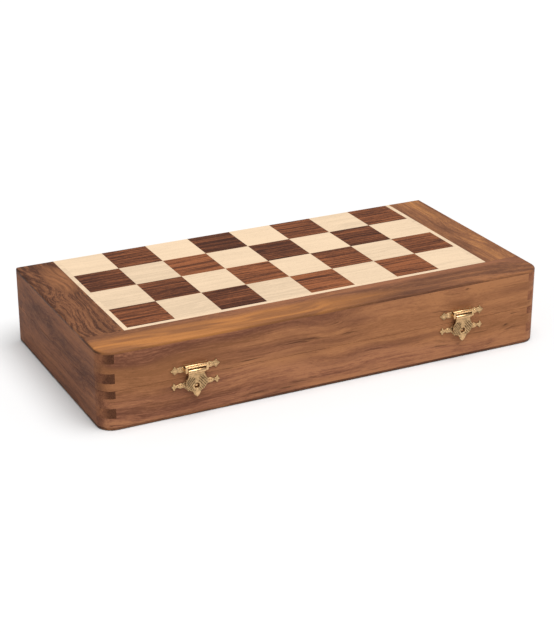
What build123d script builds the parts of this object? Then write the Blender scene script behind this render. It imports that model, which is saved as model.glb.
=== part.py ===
from build123d import *
import os

# A folding chess set. Two shallow wooden boxes, hinged along one long edge, close face to face
# and carry half of the board each on their outer faces. The men lie inside, in velvet pockets.
# Frame: X along the box, Y from the latched front to the hinged back, Z up from the face that
# the closed box rests on. Millimetres. The origin is under the middle of the box.

os.makedirs("parts", exist_ok=True)

# Board and box
square = 30.4  # side of one square of the board
columns = 8  # squares along the box
rows = 4  # squares across one half
stringing_width = 3.0  # light line let in round the squares
border_width = 25.4  # strip outside the stringing
box_height = 50.0  # both halves, closed
seam_gap = 0.16  # air between the two rims
wall = 9.0
face_thickness = 2.0  # squares, stringing and border strips
panel_thickness = 3.5  # panel between the walls, under the squares
glue_line = 0.04  # hairline between two squares
front_corner_radius = 10.0
back_corner_radius = 2.0
face_edge_radius = 1.35
finger = 6.2  # height of one finger of the corner joints
first_finger = 4.8  # the finger next to the seam

length = columns * square + 2 * (stringing_width + border_width)
depth = rows * square + stringing_width + border_width
seam = box_height / 2
rim = seam - seam_gap / 2
cavity_floor = face_thickness + panel_thickness
cavity_length = length - 2 * wall
cavity_depth = depth - 2 * wall
squares_front = depth / 2 - rows * square

# Hinges
hinge_spacing = 88.0  # from the middle of the box to the middle of each hinge
hinge_length = 26.0
knuckle_count = 5
knuckle_gap = 0.1
knuckle_radius = 1.8
pin_radius = 0.9
running_clearance = 0.05
hinge_offset = 0.2  # pin axis behind the back face
leaf_thickness = 0.9
leaf_width = 6.5
leaf_gap = 0.08  # between the two leaves, closed
barrel_clearance = 0.4  # wood and leaves stay this far from the barrel
screw_spacing = 7.0  # from the middle of a hinge to each screw
screw_radius = 0.7
screw_head_radius = 1.5
screw_length = 7.0
screw_slot = 0.35

pin_y = depth / 2 + hinge_offset
leaf_top = seam - leaf_gap / 2
leaf_bottom = leaf_top - leaf_thickness
leaf_back = pin_y - knuckle_radius - barrel_clearance
leaf_middle = leaf_back - leaf_width / 2
knuckle_pitch = hinge_length / knuckle_count

# Latches
latch_spacing = 91.2  # from the middle of the box to the middle of each latch
plate_thickness = 0.8
ear_reach = 16.0  # half of a plate's width
nail_reach = 9.6  # from the middle of a latch to each nail
nail_boss_radius = 1.8  # round of plate about each nail
ear_length = 4.6
nail_radius = 0.5
nail_head_radius = 0.95
nail_head = 0.35
nail_length = 5.5
hasp_lift = 5.4  # middle of the upper plate above the seam
housing_half_width = 7.3
housing_lift = 8.2
housing_depth = 2.5
top_bar_lift = 6.0
pivot_lift = 3.9
bar_radius = 0.7
curl_thickness = 0.7
curl_clearance = 0.15  # from the curl to the upper plate
curl_half_width = 5.6
lug_clearance = 0.3  # from the curl's ends to the housing
tongue_thickness = 0.8
tongue_neck = 5.3
tongue_half_width = 7.0
tip_drop = 13.0
catch_drop = 4.8  # middle of the lower plate below the seam
knob_drop = 5.5
knob_radius = 1.1
knob_clearance = 0.1  # from the knob to the tongue hanging free
knob_hole_clearance = 0.5

hasp_height = seam + hasp_lift
housing_top = seam + housing_lift
top_bar_bottom = seam + top_bar_lift
pivot_height = seam + pivot_lift
tongue_tip = seam - tip_drop
catch_height = seam - catch_drop
knob_height = seam - knob_drop
curl_radius = bar_radius + running_clearance + curl_thickness
pivot_reach = plate_thickness + curl_clearance + curl_radius
tongue_back = pivot_reach - tongue_thickness / 2
knob_length = tongue_back - knob_clearance - plate_thickness

# Chessmen: base diameter and height of each kind
men = {
    "king": (17.0, 48.0),
    "queen": (17.0, 43.0),
    "bishop": (15.5, 38.0),
    "knight": (15.5, 35.0),
    "rook": (15.5, 31.0),
    "pawn": (14.0, 27.0),
}
officers = ("rook", "knight", "bishop", "queen", "king", "bishop", "knight", "rook")
felt_thickness = 0.7
felt_margin = 0.8  # from the felt's edge to the base's edge
base_share = 0.2  # of the height of a man: above this it is no wider than waist_share
waist_share = 0.7  # of the base's radius

# Velvet inserts
insert_clearance = 0.25
insert_drop = 1.5  # from the rim down to the velvet
men_drop = 1.0  # from the rim down to the widest base
pocket_clearance = 0.4
pocket_margin = 4.0  # foam between a base and the wall
trough_width = 22.0
trough_floor = 9.0

insert_top = rim - insert_drop
men_axis = rim - men_drop - max(base for base, height in men.values()) / 2
men_pitch = cavity_length / columns
officer_base = cavity_depth / 2 - pocket_margin - felt_thickness - pocket_clearance
pawn_base = -officer_base
pawn_head = pawn_base + men["pawn"][1]
king_head = officer_base - men["king"][1]
trough_middle = (pawn_head + king_head) / 2

front_face = Plane.XZ.offset(depth / 2)
seam_plane = Plane.XY.offset(seam)
hinge_places = {"left": -hinge_spacing, "right": hinge_spacing}
latch_places = {"left": -latch_spacing, "right": latch_spacing}


def write(shape, name, half="lower"):
    """Label a finished piece and write it, turned over about the seam if it is the upper half's."""
    if half == "upper":
        with BuildPart() as turned_over:
            mirror(shape, about=seam_plane)
        shape = turned_over.part
    shape.label = name
    export_step(shape, f"parts/{name}.step")


# The outer shape of the lower half, which trims the walls and the border strips
with BuildPart() as outer_shape:
    with BuildSketch():
        outline = Rectangle(length, depth)
        fillet(outline.vertices().group_by(Axis.Y)[0], radius=front_corner_radius)
    extrude(amount=seam)
    resting_edges = outer_shape.faces().sort_by(Axis.Z)[0].edges()
    fillet(resting_edges.sort_by(Axis.Y)[:-1], radius=face_edge_radius)
    with BuildSketch() as back_corners:
        Rectangle(length, depth)
        fillet(back_corners.vertices().group_by(Axis.Y)[-1], radius=back_corner_radius)
    extrude(amount=seam, mode=Mode.INTERSECT)


def finger_bands():
    """Heights of the corner fingers, as (bottom, top) pairs from the rim down."""
    cuts = [rim]
    height = seam - first_finger
    while height > face_thickness + finger / 2:
        cuts.append(height)
        height -= finger
    cuts.append(face_thickness)
    return list(zip(cuts[1:], cuts))


def wall_blank(side_x, side_y, lost_bands):
    """One wall: its whole length, less the fingers that belong to its neighbours."""
    size_x = wall if side_x else length
    size_y = wall if side_y else depth
    corners = GridLocations(length - wall, depth - wall, 2, 2)
    with BuildPart() as blank:
        with BuildSketch(Plane.XY.offset(face_thickness)):
            with Locations((side_x * (length - wall) / 2, side_y * (depth - wall) / 2)):
                Rectangle(size_x, size_y)
        extrude(amount=rim - face_thickness)
        for low, high in lost_bands:
            with BuildSketch(Plane.XY.offset(low)):
                with corners:
                    Rectangle(wall, wall)
            extrude(amount=high - low, mode=Mode.SUBTRACT)
        add(outer_shape.part, mode=Mode.INTERSECT)
    return blank.part


def front_wall(half, lost_bands, nail_height):
    """The latched wall, with a hole for each nail of its latch plates."""
    with BuildPart() as piece:
        add(wall_blank(0, -1, lost_bands))
        with BuildSketch(front_face):
            for latch_x in latch_places.values():
                with Locations((latch_x - nail_reach, nail_height), (latch_x + nail_reach, nail_height)):
                    Circle(nail_radius)
        extrude(amount=plate_thickness - nail_length, mode=Mode.SUBTRACT)
    write(piece.part, f"{half}_front_wall", half)


def back_wall(half, lost_bands):
    """The hinged wall, with beds for the leaves, notches for the barrels and screw holes."""
    barrel_reach = knuckle_radius + barrel_clearance
    with BuildPart() as piece:
        add(wall_blank(0, 1, lost_bands))
        for hinge_x in hinge_places.values():
            with BuildSketch(Plane.XY.offset(leaf_bottom)):
                with Locations((hinge_x, leaf_middle)):
                    Rectangle(hinge_length, leaf_width)
            extrude(amount=seam - leaf_bottom, mode=Mode.SUBTRACT)
            with BuildSketch(Plane.XY.offset(seam - barrel_reach)):
                with Locations((hinge_x, pin_y)):
                    Rectangle(hinge_length + 2 * barrel_clearance, 2 * barrel_reach)
            extrude(amount=barrel_reach, mode=Mode.SUBTRACT)
            with BuildSketch(Plane.XY.offset(leaf_top - screw_length)):
                with Locations((hinge_x - screw_spacing, leaf_middle), (hinge_x + screw_spacing, leaf_middle)):
                    Circle(screw_radius)
            extrude(amount=screw_length, mode=Mode.SUBTRACT)
    write(piece.part, f"{half}_back_wall", half)


def side_wall(half, side_name, side_x, lost_bands):
    with BuildPart() as piece:
        add(wall_blank(side_x, 0, lost_bands))
    write(piece.part, f"{half}_{side_name}_wall", half)


def base_panel(half):
    """The panel that the squares are glued to, set in between the walls."""
    with BuildPart() as panel:
        with BuildSketch(Plane.XY.offset(face_thickness)):
            Rectangle(cavity_length, cavity_depth)
        extrude(amount=panel_thickness)
    write(panel.part, f"{half}_base_panel", half)


def front_border(half):
    """The strip along the latched edge, over the full length of the box."""
    with BuildPart() as strip:
        with BuildSketch():
            with Locations((0, (border_width - depth) / 2)):
                Rectangle(length, border_width)
        extrude(amount=face_thickness)
        add(outer_shape.part, mode=Mode.INTERSECT)
    write(strip.part, f"{half}_front_border", half)


def side_border(half, side_name, side_x):
    """A strip across one end, from the front strip to the fold."""
    with BuildPart() as strip:
        with BuildSketch():
            with Locations((side_x * (length - border_width) / 2, border_width / 2)):
                Rectangle(border_width, depth - border_width)
        extrude(amount=face_thickness)
        add(outer_shape.part, mode=Mode.INTERSECT)
    write(strip.part, f"{half}_{side_name}_border", half)


def stringing(half):
    """Three light lines round the squares; the fold has none."""
    line_x = (columns * square + stringing_width) / 2
    with BuildPart() as lines:
        with BuildSketch():
            with Locations((0, squares_front - stringing_width / 2)):
                Rectangle(columns * square + 2 * stringing_width, stringing_width)
        extrude(amount=face_thickness)
        with BuildSketch():
            with Locations((-line_x, (depth / 2 + squares_front) / 2), (line_x, (depth / 2 + squares_front) / 2)):
                Rectangle(stringing_width, rows * square - glue_line)
        extrude(amount=face_thickness)
    write(lines.part, f"{half}_stringing", half)


def squares(half, colour, remainder):
    """The sixteen squares of one colour: those whose row and column add up to an even or odd number."""
    with BuildPart() as inlay:
        with BuildSketch():
            for row in range(rows):
                for column in range(columns):
                    if (row + column) % 2 == remainder:
                        x = (column - (columns - 1) / 2) * square
                        y = depth / 2 - (row + 0.5) * square
                        with Locations((x, y)):
                            Rectangle(square - glue_line, square - glue_line)
        extrude(amount=face_thickness)
    write(inlay.part, f"{half}_{colour}_squares", half)


def men_places():
    """Kind, place along X, base's place along Y and head's direction for each man of one colour."""
    for column, kind in enumerate(officers):
        x = (column - (columns - 1) / 2) * men_pitch
        yield kind, x, officer_base, -1
        yield "pawn", x, pawn_base, 1


def storage_insert(half):
    """Foam under velvet: a stepped pocket for each man and a finger trough along the middle."""
    with BuildPart() as insert:
        with BuildSketch(Plane.XY.offset(cavity_floor)):
            Rectangle(cavity_length - 2 * insert_clearance, cavity_depth - 2 * insert_clearance)
        extrude(amount=insert_top - cavity_floor)
        for kind, x, base_y, heading in men_places():
            base, height = men[kind]
            behind = felt_thickness + pocket_clearance
            reach = base_share * height + pocket_clearance
            stretches = (
                (base / 2 + pocket_clearance, base_y - heading * behind, behind + reach),
                (base / 2 * waist_share + pocket_clearance, base_y, abs(trough_middle - base_y)),
            )
            for radius, start, run in stretches:
                with BuildSketch(Plane.XZ.offset(-start)):
                    with Locations((x, men_axis)):
                        Circle(radius)
                        Rectangle(2 * radius, box_height, align=(Align.CENTER, Align.MIN))
                extrude(amount=-heading * run, mode=Mode.SUBTRACT)
        with BuildSketch(Plane.XY.offset(trough_floor)):
            with Locations((0, trough_middle)):
                Rectangle(men_pitch * columns - 2 * pocket_margin, trough_width)
        extrude(amount=box_height, mode=Mode.SUBTRACT)
    write(insert.part, f"{half}_storage_insert", half)


def hinge_leaf(side_name, hinge_x, half, own_knuckles, bore_radius):
    """A leaf let into the rim, with its share of the knuckles round the pin."""
    with BuildPart() as leaf:
        with BuildSketch(Plane.XY.offset(leaf_bottom)):
            with Locations((hinge_x, leaf_middle)):
                Rectangle(hinge_length, leaf_width)
        extrude(amount=leaf_thickness)
        for knuckle in own_knuckles:
            start = hinge_x - hinge_length / 2 + knuckle * knuckle_pitch + knuckle_gap / 2
            with BuildSketch(Plane.YZ.offset(start)):
                with Locations((pin_y, seam)):
                    Circle(knuckle_radius)
                with Locations((leaf_back, leaf_bottom)):
                    Rectangle(pin_y - leaf_back, leaf_thickness, align=(Align.MIN, Align.MIN))
            extrude(amount=knuckle_pitch - knuckle_gap)
        with BuildSketch(Plane.YZ.offset(hinge_x - hinge_length / 2)):
            with Locations((pin_y, seam)):
                Circle(bore_radius)
        extrude(amount=hinge_length, mode=Mode.SUBTRACT)
        with Locations((hinge_x - screw_spacing, leaf_middle, leaf_top), (hinge_x + screw_spacing, leaf_middle, leaf_top)):
            CounterSinkHole(screw_radius + running_clearance, screw_head_radius + running_clearance)
    write(leaf.part, f"{side_name}_hinge_{half}_leaf", half)


def hinge_pin(side_name, hinge_x):
    with BuildPart() as pin:
        with BuildSketch(Plane.YZ.offset(hinge_x - hinge_length / 2)):
            with Locations((pin_y, seam)):
                Circle(pin_radius)
        extrude(amount=hinge_length)
    write(pin.part, f"{side_name}_hinge_pin")


def hinge_screws(half):
    """The four slotted countersunk screws of one half."""
    with BuildPart() as screws:
        for hinge_x in hinge_places.values():
            for screw_x in (hinge_x - screw_spacing, hinge_x + screw_spacing):
                section = Plane(origin=(screw_x, leaf_middle, leaf_top), x_dir=(1, 0, 0), z_dir=(0, -1, 0))
                with BuildSketch(section):
                    with BuildLine():
                        Polyline(
                            (0, 0),
                            (screw_head_radius, 0),
                            (screw_radius, screw_radius - screw_head_radius),
                            (screw_radius, -screw_length + screw_radius),
                            (0, -screw_length),
                            close=True,
                        )
                    make_face()
                revolve(axis=Axis(section.origin, (0, 0, 1)))
        with BuildSketch(Plane.XY.offset(leaf_top)):
            for hinge_x in hinge_places.values():
                with Locations((hinge_x - screw_spacing, leaf_middle), (hinge_x + screw_spacing, leaf_middle)):
                    Rectangle(2 * screw_head_radius, screw_slot)
        extrude(amount=-screw_slot, mode=Mode.SUBTRACT)
    write(screws.part, f"hinge_screws_{half}", half)


def hasp_plate(side_name, latch_x):
    """The upper plate: fishtail ears, a raised housing and the bar that the tongue swings on."""
    middle = front_face.shift_origin(Vector(latch_x, -depth / 2, 0))
    lug_inside = curl_half_width + lug_clearance
    lug_width = housing_half_width - lug_inside
    lug_bottom = pivot_height - bar_radius - curl_clearance
    with BuildPart() as plate:
        with BuildSketch(middle):
            with BuildLine():
                Polyline(
                    (0, lug_bottom - 0.6),
                    (housing_half_width, lug_bottom),
                    (ear_reach - ear_length, hasp_height - 1.3),
                    (ear_reach - 2.6, hasp_height - 2.9),
                    (ear_reach, hasp_height - 1.7),
                    (ear_reach - 1.1, hasp_height),
                    (ear_reach, hasp_height + 1.7),
                    (ear_reach - 2.6, hasp_height + 2.9),
                    (ear_reach - ear_length, hasp_height + 1.3),
                    (housing_half_width, housing_top),
                    (0, housing_top),
                    close=True,
                )
            make_face()
            with Locations((nail_reach, hasp_height)):
                Circle(nail_boss_radius)
            mirror(about=Plane.YZ)
        extrude(amount=plate_thickness)
        with BuildSketch(middle.offset(plate_thickness)):
            with Locations((0, top_bar_bottom)):
                Rectangle(2 * housing_half_width, housing_top - top_bar_bottom, align=(Align.CENTER, Align.MIN))
            for lug_x in (-lug_inside - lug_width / 2, lug_inside + lug_width / 2):
                with Locations((lug_x, lug_bottom)):
                    Rectangle(lug_width, housing_top - lug_bottom, align=(Align.CENTER, Align.MIN))
        extrude(amount=housing_depth)
        with BuildSketch(Plane.YZ.offset(latch_x - lug_inside - lug_width / 2)):
            with Locations((-depth / 2 - pivot_reach, pivot_height)):
                Circle(bar_radius)
        extrude(amount=2 * lug_inside + lug_width)
        with BuildSketch(middle):
            with Locations((-nail_reach, hasp_height), (nail_reach, hasp_height)):
                Circle(nail_radius)
        extrude(amount=plate_thickness, mode=Mode.SUBTRACT)
    write(plate.part, f"{side_name}_hasp_plate")


def hasp_tongue(side_name, latch_x):
    """The swinging tongue: a curl round the bar, a shield with a hole for the knob and a leaf tip."""
    middle = front_face.shift_origin(Vector(latch_x, -depth / 2, 0))
    with BuildPart() as tongue:
        with BuildSketch(middle.offset(tongue_back)):
            with BuildLine():
                Polyline(
                    (0, pivot_height),
                    (tongue_neck, pivot_height),
                    (tongue_neck, knob_height + 6.4),
                    (tongue_half_width, knob_height + 3.4),
                    (tongue_half_width, knob_height + 0.8),
                    (tongue_half_width - 2.6, knob_height - 2.9),
                    (tongue_half_width - 4.6, tongue_tip + 3.4),
                    (0, tongue_tip),
                    close=True,
                )
            make_face()
            mirror(about=Plane.YZ)
            with Locations((0, knob_height)):
                Circle(knob_radius + knob_hole_clearance, mode=Mode.SUBTRACT)
        extrude(amount=tongue_thickness)
        with BuildSketch(Plane.YZ.offset(latch_x - curl_half_width)):
            with Locations((-depth / 2 - pivot_reach, pivot_height)):
                Circle(curl_radius)
        extrude(amount=2 * curl_half_width)
        with BuildSketch(Plane.YZ.offset(latch_x - curl_half_width)):
            with Locations((-depth / 2 - pivot_reach, pivot_height)):
                Circle(bar_radius + running_clearance)
        extrude(amount=2 * curl_half_width, mode=Mode.SUBTRACT)
    write(tongue.part, f"{side_name}_hasp_tongue")


def catch_plate(side_name, latch_x):
    """The lower plate: scalloped, with three-pointed ears and the knob that the tongue snaps over."""
    middle = front_face.shift_origin(Vector(latch_x, -depth / 2, 0))
    with BuildPart() as plate:
        with BuildSketch(middle):
            with BuildLine():
                Polyline(
                    (0, catch_height + 3.2),
                    (tongue_half_width - 1, catch_height + 3.4),
                    (tongue_half_width + 1.5, catch_height + 1.7),
                    (ear_reach - ear_length + 1.2, catch_height + 1.3),
                    (ear_reach - 2, catch_height + 2.7),
                    (ear_reach - 1.5, catch_height + 1.1),
                    (ear_reach, catch_height),
                    (ear_reach - 1.5, catch_height - 1.1),
                    (ear_reach - 2, catch_height - 2.7),
                    (ear_reach - ear_length + 1.2, catch_height - 1.3),
                    (tongue_half_width + 1.5, catch_height - 1.9),
                    (tongue_half_width - 2, catch_height - 4.4),
                    (0, catch_height - 5.4),
                    close=True,
                )
            make_face()
            with Locations((nail_reach, catch_height)):
                Circle(nail_boss_radius)
            mirror(about=Plane.YZ)
            with Locations((-nail_reach, catch_height), (nail_reach, catch_height)):
                Circle(nail_radius, mode=Mode.SUBTRACT)
        extrude(amount=plate_thickness)
        with BuildSketch(middle.offset(plate_thickness)):
            with Locations((0, knob_height)):
                Circle(knob_radius)
        extrude(amount=knob_length)
        chamfer(plate.faces().sort_by(Axis.Y)[0].edges(), length=knob_length / 4)
    write(plate.part, f"{side_name}_catch_plate")


def latch_nails(half, nail_height):
    """The four round-headed nails through the latch plates of one half."""
    with BuildPart() as nails:
        for latch_x in latch_places.values():
            nail_places = ((latch_x - nail_reach, nail_height), (latch_x + nail_reach, nail_height))
            with BuildSketch(front_face.offset(plate_thickness)):
                with Locations(*nail_places):
                    Circle(nail_radius)
            extrude(amount=-nail_length)
            with BuildSketch(front_face.offset(plate_thickness)):
                with Locations(*nail_places):
                    Circle(nail_head_radius)
            extrude(amount=nail_head, taper=30)
    write(nails.part, f"latch_nails_{half}")


def side_of(stand):
    """The plane through the axis of a man: X across it and Y up it."""
    return Plane(origin=stand.origin, x_dir=stand.x_dir, z_dir=stand.x_dir.cross(stand.z_dir))


def foot(base_radius, height, neck, collar, collar_height):
    """A turned foot, from the middle of the base up to the top of the collar. Returns its end."""
    ledge = 0.1 * height
    waist = waist_share * base_radius
    collar_top = collar_height + 0.035 * height
    Polyline((0, 0), (base_radius, 0), (base_radius, 0.05 * height))
    TangentArc((base_radius, 0.05 * height), (0.84 * base_radius, ledge), tangent=(0, 1))
    Polyline((0.84 * base_radius, ledge), (waist, ledge), (waist, 0.14 * height))
    ThreePointArc(
        (waist, 0.14 * height),
        (0.4 * waist + 0.6 * neck, 0.09 * height + 0.35 * collar_height),
        (neck, collar_height),
    )
    Line((neck, collar_height), (collar - 0.3, collar_height))
    ThreePointArc((collar - 0.3, collar_height), (collar, (collar_height + collar_top) / 2), (collar - 0.3, collar_top))
    Line((collar - 0.3, collar_top), (neck, collar_top))
    return neck, collar_top


def turned_pawn(stand, base_radius, height):
    ball = 0.44 * base_radius
    neck = 0.3 * base_radius
    ball_middle = height - ball
    join = ball_middle - (ball**2 - neck**2) ** 0.5
    with BuildPart() as man:
        with BuildSketch(side_of(stand)):
            with BuildLine():
                end = foot(base_radius, height, neck, 0.55 * base_radius, 0.56 * height)
                Line(end, (neck, join))
                ThreePointArc((neck, join), (ball, ball_middle), (0, height))
                Line((0, height), (0, 0))
            make_face()
        revolve(axis=Axis(stand.origin, stand.z_dir))
    return man.part


def turned_rook(stand, base_radius, height):
    """A tower: its flared head is hollowed and notched four times."""
    tower = 0.62 * base_radius
    neck = 0.42 * base_radius
    tower_bottom = 0.76 * height
    notch = 0.09 * height
    hollow = 0.6 * tower
    with BuildPart() as man:
        with BuildSketch(side_of(stand)):
            with BuildLine():
                end = foot(base_radius, height, neck, 0.58 * base_radius, 0.6 * height)
                ThreePointArc(end, (0.5 * base_radius, 0.7 * height), (tower, tower_bottom))
                Polyline((tower, tower_bottom), (tower, height), (hollow, height), (hollow, height - notch))
                Polyline((hollow, height - notch), (0, height - notch), (0, 0))
            make_face()
        revolve(axis=Axis(stand.origin, stand.z_dir))
        with BuildSketch(stand.offset(height - notch)):
            with PolarLocations(0, 2, angular_range=180):
                Rectangle(2 * base_radius, 0.3 * tower)
        extrude(amount=notch, mode=Mode.SUBTRACT)
    return man.part


def turned_bishop(stand, base_radius, height):
    """A pointed mitre with a slanting cut and a ball on top."""
    mitre = 0.46 * base_radius
    neck = 0.27 * base_radius
    ball = 0.12 * base_radius
    mitre_top = height - 1.8 * ball
    with BuildPart() as man:
        with BuildSketch(side_of(stand)):
            with BuildLine():
                end = foot(base_radius, height, neck, 0.52 * base_radius, 0.56 * height)
                ThreePointArc(end, (mitre, 0.72 * height), (0.6 * ball, mitre_top))
                ThreePointArc((0.6 * ball, mitre_top), (ball, height - ball), (0, height))
                Line((0, height), (0, 0))
            make_face()
        revolve(axis=Axis(stand.origin, stand.z_dir))
        with BuildSketch(side_of(stand)):
            with Locations(Location((mitre, 0.86 * height), 55)):
                Rectangle(1.9 * mitre, 0.7)
        extrude(amount=base_radius, both=True, mode=Mode.SUBTRACT)
    return man.part


def turned_queen(stand, base_radius, height):
    """A flared coronet, scalloped round its rim, with a ball in the middle."""
    coronet = 0.54 * base_radius
    neck = 0.3 * base_radius
    coronet_top = 0.9 * height
    ball = 0.15 * base_radius
    with BuildPart() as man:
        with BuildSketch(side_of(stand)):
            with BuildLine():
                end = foot(base_radius, height, neck, 0.54 * base_radius, 0.6 * height)
                ThreePointArc(end, (0.34 * base_radius, 0.78 * height), (coronet, coronet_top))
                Line((coronet, coronet_top), (0.8 * coronet, coronet_top))
                ThreePointArc(
                    (0.8 * coronet, coronet_top),
                    (0.5 * coronet, 0.925 * height),
                    (0.6 * ball, height - 1.8 * ball),
                )
                ThreePointArc((0.6 * ball, height - 1.8 * ball), (ball, height - ball), (0, height))
                Line((0, height), (0, 0))
            make_face()
        revolve(axis=Axis(stand.origin, stand.z_dir))
        with BuildSketch(stand.offset(coronet_top - 0.045 * height)):
            with PolarLocations(1.08 * coronet, 8):
                Circle(0.22 * coronet)
        extrude(amount=0.1 * height, mode=Mode.SUBTRACT)
    return man.part


def turned_king(stand, base_radius, height):
    """A flared crown with a low dome, and a cross on top."""
    crown = 0.56 * base_radius
    neck = 0.32 * base_radius
    crown_top = 0.84 * height
    cross = height - 0.89 * height
    arm = 0.3 * cross
    with BuildPart() as man:
        with BuildSketch(side_of(stand)):
            with BuildLine():
                end = foot(base_radius, height, neck, 0.56 * base_radius, 0.58 * height)
                ThreePointArc(end, (0.37 * base_radius, 0.74 * height), (crown, crown_top))
                Line((crown, crown_top), (0.86 * crown, crown_top + 0.01 * height))
                ThreePointArc(
                    (0.86 * crown, crown_top + 0.01 * height),
                    (0.6 * crown, 0.885 * height),
                    (0, 0.905 * height),
                )
                Line((0, 0.905 * height), (0, 0))
            make_face()
        revolve(axis=Axis(stand.origin, stand.z_dir))
        with BuildSketch(side_of(stand)):
            with Locations((0, height - cross)):
                Rectangle(arm, cross, align=(Align.CENTER, Align.MIN))
            with Locations((0, height - 0.42 * cross)):
                Rectangle(0.86 * cross, arm)
        extrude(amount=arm / 2, both=True)
    return man.part


def carved_knight(stand, base_radius, height):
    """A horse's head and neck, cut from a board and set on a turned foot."""
    collar_height = 0.22 * height
    with BuildPart() as man:
        with BuildSketch(side_of(stand)):
            with BuildLine():
                end = foot(base_radius, height, 0.5 * base_radius, 0.66 * base_radius, collar_height)
                Polyline(end, (0, end[1]), (0, 0))
            make_face()
        revolve(axis=Axis(stand.origin, stand.z_dir))
        with BuildSketch(side_of(stand)):
            with BuildLine():
                Line((-0.46 * base_radius, collar_height), (0.5 * base_radius, collar_height))
                ThreePointArc(
                    (0.5 * base_radius, collar_height),
                    (0.42 * base_radius, 0.42 * height),
                    (0.1 * base_radius, 0.58 * height),
                )
                Polyline(
                    (0.1 * base_radius, 0.58 * height),
                    (0.32 * base_radius, 0.55 * height),
                    (0.46 * base_radius, 0.58 * height),
                    (0.58 * base_radius, 0.67 * height),
                    (0.5 * base_radius, 0.75 * height),
                    (0.16 * base_radius, 0.9 * height),
                    (0.02 * base_radius, height),
                    (-0.14 * base_radius, 0.93 * height),
                )
                ThreePointArc(
                    (-0.14 * base_radius, 0.93 * height),
                    (-0.58 * base_radius, 0.66 * height),
                    (-0.46 * base_radius, collar_height),
                )
            make_face()
        extrude(amount=0.26 * base_radius, both=True)
    return man.part


makers = {
    "king": turned_king,
    "queen": turned_queen,
    "bishop": turned_bishop,
    "knight": carved_knight,
    "rook": turned_rook,
    "pawn": turned_pawn,
}


def chessmen(half, colour):
    """The sixteen men of one colour lying in their half, and the felt under their bases."""
    pieces = {kind: [] for kind in men}
    stands = []
    for kind, x, base_y, heading in men_places():
        base, height = men[kind]
        stand = Plane(origin=(x, base_y, men_axis), x_dir=(1, 0, 0), z_dir=(0, heading, 0))
        pieces[kind].append(makers[kind](stand, base / 2, height))
        stands.append((stand, base / 2))
    for kind, solids in pieces.items():
        with BuildPart() as same_kind:
            for solid in solids:
                add(solid)
        plural = "s" if len(solids) > 1 else ""
        write(same_kind.part, f"{colour}_{kind}{plural}", half)
    with BuildPart() as felts:
        for stand, base_radius in stands:
            with BuildSketch(stand):
                Circle(base_radius - felt_margin)
            extrude(amount=-felt_thickness)
    write(felts.part, f"{colour}_base_felts", half)


bands = finger_bands()
# At the seam the lower half's side walls show a finger, and the upper half's long walls do
halves = {
    "lower": {"side_bands": bands[0::2], "long_bands": bands[1::2], "nail_height": catch_height},
    "upper": {"side_bands": bands[1::2], "long_bands": bands[0::2], "nail_height": box_height - hasp_height},
}
for half, joint in halves.items():
    front_wall(half, joint["side_bands"], joint["nail_height"])
    back_wall(half, joint["side_bands"])
    side_wall(half, "left", -1, joint["long_bands"])
    side_wall(half, "right", 1, joint["long_bands"])
    base_panel(half)
    front_border(half)
    side_border(half, "left", -1)
    side_border(half, "right", 1)
    stringing(half)
    storage_insert(half)
    hinge_screws(half)

# The board runs on over the fold, so the two halves start with opposite colours
squares("lower", "dark", 0)
squares("lower", "light", 1)
squares("upper", "dark", 1)
squares("upper", "light", 0)

for side_name, hinge_x in hinge_places.items():
    hinge_leaf(side_name, hinge_x, "lower", range(0, knuckle_count, 2), pin_radius)
    hinge_leaf(side_name, hinge_x, "upper", range(1, knuckle_count, 2), pin_radius + running_clearance)
    hinge_pin(side_name, hinge_x)

for side_name, latch_x in latch_places.items():
    hasp_plate(side_name, latch_x)
    hasp_tongue(side_name, latch_x)
    catch_plate(side_name, latch_x)
latch_nails("lower", catch_height)
latch_nails("upper", hasp_height)

chessmen("lower", "dark")
chessmen("upper", "light")
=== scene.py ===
"""A folding chess set: the looks of its woods, brass latches, velvet pockets and turned men."""

import math

import bmesh
import bpy
import numpy as np
from bpy.props import FloatProperty, FloatVectorProperty, IntProperty, PointerProperty
from mathutils import Color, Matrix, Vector
from mathutils.geometry import delaunay_2d_cdt


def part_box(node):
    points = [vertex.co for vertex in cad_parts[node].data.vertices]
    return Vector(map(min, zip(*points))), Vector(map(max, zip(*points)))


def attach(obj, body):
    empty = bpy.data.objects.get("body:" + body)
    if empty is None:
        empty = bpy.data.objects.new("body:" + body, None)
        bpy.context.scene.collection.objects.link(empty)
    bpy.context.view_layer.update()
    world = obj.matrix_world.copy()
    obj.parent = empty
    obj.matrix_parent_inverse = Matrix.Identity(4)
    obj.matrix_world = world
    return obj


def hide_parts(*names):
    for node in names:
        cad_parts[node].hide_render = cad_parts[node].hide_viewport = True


bl_info = {
    "name": "Folding Chess Set",
    "version": (1, 0, 0),
    "blender": (4, 5, 0),
    "location": "3D View > Sidebar > Chess Set",
    "description": "Woods, latches, velvet inserts and chessmen of a folding chess set",
    "category": "Object",
}

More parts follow.
